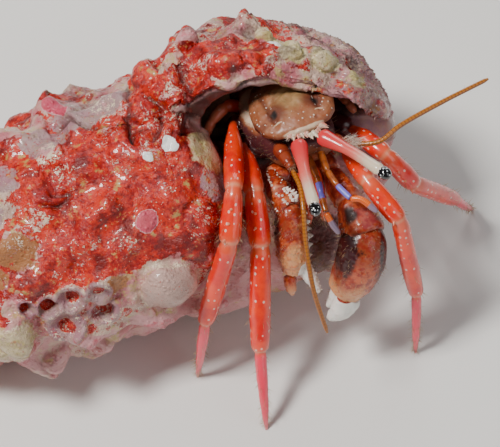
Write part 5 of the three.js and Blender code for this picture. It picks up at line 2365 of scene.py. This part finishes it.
    def trunk(self, paint: Paint) -> None:
        """Sides, underside and rear of the body.

        Args:
            paint: Finish of the body.
        """
        at, half, top, bottom, drift = columns_of(self.trunk_rings)
        reach = (at[0] + at[-1]) / 2 - (at[-1] - at[0]) / 2 * np.cos(np.linspace(0.02, math.pi - 0.02, 110))
        width, high, low, shift = (ease_table(reach, at, column) for column in (half, top, bottom, drift))
        turn = np.linspace(0, 2 * math.pi, 96, endpoint=False)
        squared = [np.sign(f) * np.abs(f) ** 0.8 for f in (np.cos(turn), np.sin(turn))]
        y = width[:, None] * squared[0] - shift[:, None]
        z = ((high + low) / 2)[:, None] + ((high - low) / 2)[:, None] * squared[1]
        x = reach[:, None] * np.ones_like(turn)
        flat = self.point(x, y, z).reshape(-1, 3)
        lift = 0.12 * self.noise.fractal(flat, 1.5, 4).reshape(x.shape)
        lift = lift - 0.12 * bell(np.sin(x * 2.6) + 1, 0.35) * (np.abs(squared[0]) > 0.5)
        flank = bell(x - 1.6, 2.3) * fade(0.1, 0.8, -squared[0]) * fade(-0.7, 0.1, squared[1])
        y = y + lift * squared[0] - 1.35 * flank
        z = z + lift * squared[1] + 0.75 * flank
        margin = bell(x - 0.1, 0.8) * fade(0.2, 0.8, squared[1]) * 1.1
        margin = np.maximum(margin, fade(-2.0, -4.0, x) * 0.6)
        margin = np.maximum(margin, fade(0.2, 0.6, flank) * fade(0.35, 0.75, squared[1]) * 0.8)
        plum = (1 - margin) * fade(-0.2, 0.3, squared[1] + 0.3) * 0.8
        zero = np.zeros_like(x)
        values = {"body": np.stack([zero, zero, margin], 2), "body_b": np.stack([plum, zero + 0.3, zero], 2)}
        sheet = ring_sheet(self.point(x, y, z), values)
        piece = paint.dress(sheet.build("cephalothorax_skin"))
        settle(piece, "body", "cephalothorax")
        rng = np.random.default_rng(9)
        coat = Coat("body_bristles", 0.018)
        for _ in range(420):
            i, j = rng.integers(10, 104), rng.integers(0, 96)
            if squared[1][j] < -0.3 or abs(squared[0][j]) < 0.35:
                continue
            root = self.point(x[i, j], y[i, j], z[i, j])
            way = squared[0][j] * self.left + 0.6 * self.upward + 0.5 * self.forward
            coat.add(root, way, rng.uniform(0.3, 0.8), (i / 110, j / 96))
        settle(coat.build(), "body")

    def abdomen(self, paint: Paint) -> None:
        """The soft coiled abdomen inside the shell, with its folds.

        Args:
            paint: Finish of the body.
        """
        shares = np.linspace(0, 1, 110)
        half = ease_table(shares, *columns_of(self.abdomen_sizes))
        half = half * (1 + 0.03 * np.sin(shares * 60))
        turn = -(self.abdomen_turn[0] + (self.abdomen_turn[1] - self.abdomen_turn[0]) * shares)
        scale = self.shell.growth ** (turn / 360)
        spin = np.linspace(0, 2 * math.pi, 48, endpoint=False)
        station = 41.5 * scale[:, None] + np.cos(spin) * half[:, None] * 1.15
        radius = 6.6 * scale[:, None] + np.sin(spin) * half[:, None]
        rings = self.shell.point(station, turn[:, None] + 6 + 0 * spin, radius)
        zero = np.zeros(rings.shape[:2])
        values = {"body": np.stack([zero, zero, zero + 0.75], 2), "body_b": np.stack([zero, zero, zero], 2)}
        piece = paint.dress(ring_sheet(rings, values).build("abdomen_skin"))
        settle(piece, "soft_abdomen", "abdomen")

    def legs(self) -> None:
        """The small legs that hold the shell."""
        paint = painted(LegFinish())
        for name, (spine, half) in self.small_legs.items():
            sizes = [(at, half * full) for at, full in self.small_leg_sizes]
            tube = oval_tube(spine, sizes, TUBE_TOP, 70, 26)
            share = tube.values["share"]
            joint = bell(np.minimum(np.abs(share - 0.36), np.abs(share - 0.69)), 0.1)
            tube.values["joint"] = np.maximum(joint, fade(0.3, 0.75, share))
            tube.values["ring"] = fade(0.3, 0.5, share) * 0.9
            tube.values["toe"] = share * 0
            tube.values["root"] = fade(0.15, 0.0, share)
            piece = paint.dress(tube.build(f"{name}_skin"))
            settle(piece, "leg", name)
            coat = Coat(f"{name}_bristles", 0.016)
            rng = np.random.default_rng(len(name) + int(half * 100))
            line = spline(rows(spine), 30)
            coat.scatter(line, 8, 5, 0.6 * (line[-1] - line[0]), half * 0.62, (0.2, 0.5), rng)
            settle(coat.build(), "leg")


# ------------------------------------------------------------------ eyes and feelers
@dataclass
class Eyes:
    """Eyestalks, corneas and the small scales at their roots."""

    stalks: dict = field(default_factory=lambda: {
        "right": ((4.2, -3.25, 21.9), (5.5, -10.5, 22.3), (-0.12, 0, 0.1)),
        "left": ((6.0, -2.75, 22.1), (11.35, -7.35, 23.0), (0.1, 0.1, 0.1)),
    })
    sizes: tuple = (
        (0, 0.2), (0.02, 0.5), (0.05, 0.72), (0.1, 0.78), (0.16, 0.72), (0.4, 0.52), (0.75, 0.5),
        (0.94, 0.55), (1, 0.42),
    )
    cornea_length: float = 1.15
    cornea_half: float = 0.57

    def build(self) -> None:
        """Makes both eyes."""
        skin, glass = StalkFinish().paint(), EyeFinish().paint()
        for side, (base, tip, bend) in self.stalks.items():
            base, tip, bend = (np.array(point, dtype=float) for point in (base, tip, bend))
            middle = (base + tip) / 2 + bend
            tube = oval_tube((base, middle, tip), self.sizes, TUBE_TOP, 110, 40)
            settle(skin.dress(tube.build(f"eyestalk_{side}_skin")), "eyestalk", f"eyestalk_{side}")
            self.scales(side, base, unit(tip - base), skin)
            aim = unit(tip - middle)
            start = tip - aim * 0.22
            share = np.linspace(0, 1, 60) ** 0.8
            full = np.where(share < 0.42, 0.84 + 0.16 * np.sin(share / 0.42 * math.pi / 2),
                            np.sqrt(np.maximum(1 - ((share - 0.42) / 0.585) ** 2, 0)))
            line = start + share[:, None] * aim * (self.cornea_length + 0.04)
            sweep = Sweep(line, self.cornea_half * full, self.cornea_half * full, np.array(TUBE_TOP), 48)
            dome = sweep.sheet({"share": share})
            settle(glass.dress(dome.build(f"eye_{side}_skin")), "cornea", f"eye_{side}")

    def scales(self, side: str, base: Array, way: Array, skin: Paint) -> None:
        """The jagged pale scale over the root of one stalk, and the fringe of hairs round it.

        Args:
            side: Which eye.
            base: The stalk's root.
            way: Where the stalk points.
            skin: Finish of the stalk.
        """
        across = unit(np.cross(way, [0, 0, 1.0]))
        rng = np.random.default_rng(len(side))
        fringe = Coat(f"eyestalk_{side}_fringe", 0.024, PALE_HAIRS)
        fan = Sheet(np.zeros((0, 3)), [])
        for turn in np.linspace(-0.85, 0.85, 9):
            aside = across * (turn * 0.95 + rng.normal(0, 0.06))
            root = base + aside - way * (0.2 + 0.15 * abs(turn)) + np.array([0, 0, 0.46])
            length, half, share = rng.uniform(0.2, 0.75), rng.uniform(0.13, 0.26), rng.uniform(0.6, 0.95)
            fan = fan.joined(thorn(root, way + across * turn * 0.5, length, half, {"share": share}))
            for _ in range(5):
                spread = way * 0.6 + across * turn + rng.normal(0, 0.4, 3) + np.array([0, -0.2, 0.3])
                start = root + rng.normal(0, 0.16, 3)
                fringe.add(start, spread, rng.uniform(0.25, 0.5), (0.5 + turn / 2, rng.random()))
        settle(skin.dress(fan.build(f"eyestalk_{side}_scales")), "eyestalk")
        settle(fringe.build(), "eyestalk")


@dataclass
class Feelers:
    """Both pairs of feelers and the mouth legs."""

    antennules: dict = field(default_factory=lambda: {
        "right": (((5.1, -3.3, 19.6), (5.9, -5.2, 18.9), (6.3, -7.0, 18.6), (6.6, -8.2, 18.3)),
                  ((6.65, -8.4, 18.3), (7.2, -9.1, 17.6), (7.8, -9.6, 16.9))),
        "left": (((6.2, -3.0, 19.8), (6.8, -4.9, 19.7), (7.6, -6.4, 19.7), (8.7, -7.7, 19.6)),
                 ((8.75, -7.85, 19.65), (9.6, -8.0, 19.8), (11.05, -8.9, 19.2))),
    })
    antennae: dict = field(default_factory=lambda: {
        "right": (
            ((2.5, -2.5, 20.0), (3.0, -3.9, 20.6), (3.6, -5.4, 20.9)),
            (
                (3.7, -5.7, 20.9), (4.35, -7.6, 21.0), (4.6, -9.6, 20.6), (4.8, -11.6, 18.6),
                (5.5, -13.9, 14.8), (6.8, -15.7, 10.4),
            ),
        ),
        "left": (
            ((7.1, -2.0, 20.4), (8.2, -2.9, 21.0), (9.0, -3.2, 21.3)),
            (
                (9.3, -3.25, 21.4), (11.3, -3.3, 21.9), (13.1, -2.1, 22.6), (16.6, -0.1, 23.2),
                (20.9, 2.2, 23.7),
            ),
        ),
    })
    maxillipeds: dict = field(default_factory=lambda: {
        "right": ((4.5, -3.2, 17.2), (4.9, -4.7, 16.2), (5.2, -5.6, 14.8), (5.3, -5.9, 13.2)),
        "left": ((5.6, -2.9, 17.3), (6.1, -4.3, 16.3), (6.5, -5.1, 14.6), (6.6, -5.4, 13.0)),
    })
    # Shares where a stem's bright band starts and ends, and where the whip's tip starts.
    bands: dict = field(default_factory=lambda: {"right": (0.46, 0.8, 0.3), "left": (0.68, 1.5, 0.6)})
    stem_sizes: tuple = (
        (0, 0.3), (0.1, 0.36), (0.32, 0.32), (0.36, 0.25), (0.4, 0.31), (0.62, 0.28), (0.67, 0.22),
        (0.72, 0.27), (0.92, 0.28), (1, 0.24),
    )
    whip_sizes: tuple = ((0, 0.18), (0.05, 0.27), (0.6, 0.3), (0.92, 0.24), (1, 0.14))
    root_sizes: tuple = (
        (0, 0.5), (0.2, 0.72), (0.42, 0.66), (0.48, 0.5), (0.54, 0.6), (0.8, 0.5), (0.86, 0.38),
        (0.92, 0.42), (1, 0.34),
    )
    lash_sizes: tuple = ((0, 0.16), (0.02, 0.23), (0.6, 0.22), (0.97, 0.19), (1, 0.1))
    mouth_sizes: tuple = (
        (0, 0.4), (0.1, 0.55), (0.4, 0.5), (0.46, 0.38), (0.52, 0.48), (0.74, 0.42), (0.8, 0.3),
        (0.86, 0.36), (1, 0.2),
    )

    def tube(self, name: str, points: Sequence, table: Sequence, paint: Paint, node: str,
             count: int = 60, around: int = 24, share: Optional[Callable] = None) -> Array:
        """Makes one feeler joint.

        Args:
            name: Name of the piece.
            points: Points of its middle line.
            table: Sizes along it.
            paint: Its finish.
            node: The plain solid that it stands in for.
            count: How many rings it has.
            around: How many sides it has.
            share: Function that re-reads the share along it.

        Returns:
            The middle line.
        """
        made = oval_tube(points, table, TUBE_TOP, count, around)
        if share:
            made.values["share"] = share(made.values["share"])
        settle(paint.dress(made.build(name)), "feeler", node)
        return spline(rows(points), count)

    def build(self) -> None:
        """Makes all feelers and the mouth legs."""
        self.build_antennules()
        self.build_antennae()
        self.build_mouth()

    def build_antennules(self) -> None:
        """The short inner feelers with their combs."""
        stem = FeelerFinish("antennule_stem", srgb(168, 88, 24), srgb(112, 46, 14), srgb(140, 76, 40),
                            srgb(112, 112, 216), 0.9).paint()
        whip = FeelerFinish("antennule_whip", srgb(240, 112, 26), srgb(206, 74, 14), srgb(240, 128, 40),
                            srgb(140, 118, 140), 0.16).paint()
        rng = np.random.default_rng(3)
        coat = Coat("antennule_combs", 0.018)
        for side, (stem_line, whip_line) in self.antennules.items():
            first, last, tip = self.bands[side]
            name = f"antennule_{side}"
            self.tube(f"{name}_stem_skin", stem_line, self.stem_sizes, stem, f"{name}_peduncle", 80, 24,
                      lambda share: 0.2 + 0.8 * fade(first - 0.04, first + 0.04, share)
                      * fade(last + 0.04, last - 0.04, share))
            line = self.tube(f"{name}_whip_skin", whip_line, self.whip_sizes, whip, f"{name}_flagellum",
                             60, 24, lambda share: 0.2 + 0.8 * fade(tip - 0.1, tip + 0.1, share))
            along = unit(line[-1] - line[0])
            below = unit(np.cross(along, np.cross([0, 0.3, -1.0], along)))
            for i in range(20, 60):
                for _ in range(3):
                    way = below + along * 0.5 + rng.normal(0, 0.15, 3)
                    coat.add(line[i] + below * 0.22, way, rng.uniform(0.45, 0.8), (i / 60, 0.5))
        settle(coat.build(), "feeler")

    def build_antennae(self) -> None:
        """The long outer feelers, ringed, with the pale scale at each root."""
        base = FeelerFinish("antenna_stem", srgb(150, 62, 34), srgb(120, 36, 22), srgb(170, 120, 96),
                            srgb(190, 110, 56), 1.2).paint()
        whip = FeelerFinish("antenna_whip", srgb(176, 104, 20), srgb(100, 46, 12), srgb(190, 130, 60),
                            srgb(176, 122, 44), 0.34).paint()
        coat = Coat("antenna_bristles", 0.016)
        plume = Coat("antenna_plumes", 0.022, PALE_HAIRS)
        rng = np.random.default_rng(5)
        for side, (stem_line, whip_line) in self.antennae.items():
            name = f"antenna_{side}"
            line = self.tube(f"{name}_stem_skin", stem_line, self.root_sizes, base, f"{name}_base", 80, 28,
                             lambda share: 0.2 + 0.6 * share)
            whole = self.tube(f"{name}_whip_skin", whip_line, self.lash_sizes, whip, f"{name}_flagellum",
                              420, 20, lambda share: 0.2 + 0.65 * share)
            coat.scatter(line, 20, 3, line[-1] - line[0], 0.35, (0.3, 0.6), rng)
            for i in range(20, 410, 14):
                way = unit(rng.normal(0, 1, 3) + unit(whole[i + 1] - whole[i]))
                coat.add(whole[i] + way * 0.2, way, rng.uniform(0.2, 0.35), (i / 420, rng.random()))
            for _ in range(220 if side == "left" else 0):
                ahead = unit(whole[40] - line[40])
                back = ahead * rng.uniform(-0.3, 1.3)
                root = line[-1] - back + rng.normal(0, 0.22, 3) + np.array([0, 0, 0.2])
                way = ahead + rng.normal(0, 0.45, 3)
                plume.add(root, way, rng.uniform(0.5, 1.3), (rng.random(), rng.random()))
        settle(plume.build(), "feeler")
        settle(coat.build(), "feeler")

    def build_mouth(self) -> None:
        """The outer mouth legs with their brushes."""
        paint = painted(LegFinish())
        coat = Coat("mouth_bristles", 0.018)
        rng = np.random.default_rng(8)
        for side, spine in self.maxillipeds.items():
            made = oval_tube(spine, self.mouth_sizes, TUBE_TOP, 80, 26)
            share = made.values["share"]
            made.values["joint"] = 0.5 + 0.5 * share
            for plain_value in ("ring", "toe", "root"):
                made.values[plain_value] = share * 0
            settle(paint.dress(made.build(f"maxilliped_{side}_skin")), "mouthpart", f"maxilliped_{side}")
            coat.scatter(spline(rows(spine), 50), 12, 6, np.array([0, -0.6, -0.6]), 0.35, (0.3, 0.75), rng)
        settle(coat.build(), "mouthpart")


# ------------------------------------------------------------------ set
@dataclass
class Studio:
    """Floor, light and camera."""

    camera_place: tuple = (7.2, -149.5, 221.98)
    tilt: float = 35.0
    lens: float = 205.92
    floor_colour: Colour = srgb(240, 238, 234)
    floor_shade: Colour = srgb(228, 226, 222)

    def build(self) -> None:
        """Makes the floor, the lights, the world and the camera."""
        floor = self.floor()
        lights = [
            self.light("key", (-135, -50, 270), 62, 1.08, (1.0, 0.98, 0.95)),
            self.light("fill", (220, -160, 160), 220, 0.2, (0.95, 0.97, 1.0)),
            self.light("rim", (40, 240, 160), 160, 0.25, (1.0, 1.0, 1.0)),
        ]
        world = bpy.data.worlds.new("studio")
        world.use_nodes = True
        backdrop = world.node_tree.nodes["Background"]
        backdrop.inputs["Color"].default_value = (0.9, 0.92, 0.95, 1)
        backdrop.inputs["Strength"].default_value = 0.11
        bpy.context.scene.world = world
        self.camera()

    def floor(self) -> Piece:
        """A wide pale floor.

        Returns:
            The floor.
        """
        mesh = bpy.data.meshes.new("floor")
        reach = 2.0
        corners = [(x * reach, y * reach, 0) for x, y in ((-1, -1), (1, -1), (1, 1), (-1, 1))]
        mesh.from_pydata(corners, [], [(0, 1, 2, 3)])
        floor = bpy.data.objects.new("floor", mesh)
        bpy.context.scene.collection.objects.link(floor)
        paint = Paint("floor", Roughness=0.75)
        colour = paint.mix(paint.noise(40, 2, 0.5) * 0.15, self.floor_colour, self.floor_shade)
        paint.feed("Base Color", colour)
        return paint.dress(floor)

    def light(self, name: str, place: Sequence, size: float, power: float, tint: Colour) -> Piece:
        """A soft square light that looks at the model.

        Args:
            name: Its name.
            place: Where it stands, in millimetres.
            size: Its side in millimetres.
            power: Its power in watts.
            tint: Its colour.

        Returns:
            The light.
        """
        lamp = bpy.data.lights.new(name, "AREA")
        lamp.size = size * MM
        lamp.energy = power
        lamp.color = tint
        made = bpy.data.objects.new(name, lamp)
        made.location = Vector(place) * MM
        made.rotation_euler = (Vector((0, 0, 0.01)) - made.location).to_track_quat("-Z", "Y").to_euler()
        bpy.context.scene.collection.objects.link(made)
        return made

    def camera(self) -> Piece:
        """The camera, looking down on the animal's face.

        Returns:
            The camera.
        """
        lens = bpy.data.cameras.new("camera")
        lens.lens = self.lens
        lens.sensor_width = 36
        lens.clip_start = 0.01
        lens.clip_end = 10
        made = bpy.data.objects.new("camera", lens)
        made.location = Vector(self.camera_place) * MM
        made.rotation_euler = (math.radians(self.tilt), 0, 0)
        bpy.context.scene.collection.objects.link(made)
        bpy.context.scene.camera = made
        return made


def plain(box: object) -> object:
    """Turns bounds into plain lists of numbers."""
    return [[float(number) for number in corner] for corner in box]


def main() -> None:
    """Loads the solids and dresses them, part by part."""
    logging.basicConfig(level=logging.INFO, format="%(message)s")
    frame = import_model()
    LOG.info("%d solids to dress", len(frame["nodes"]))
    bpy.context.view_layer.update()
    shell = Shell()
    shell.build()
    Body(shell).build()
    WalkingLegs().build()
    claw = ClawFinish().paint()
    for side in both_claws():
        side.build(claw)
    Eyes().build()
    Feelers().build()
    Studio().build()


if __name__ == "__main__":
    main()
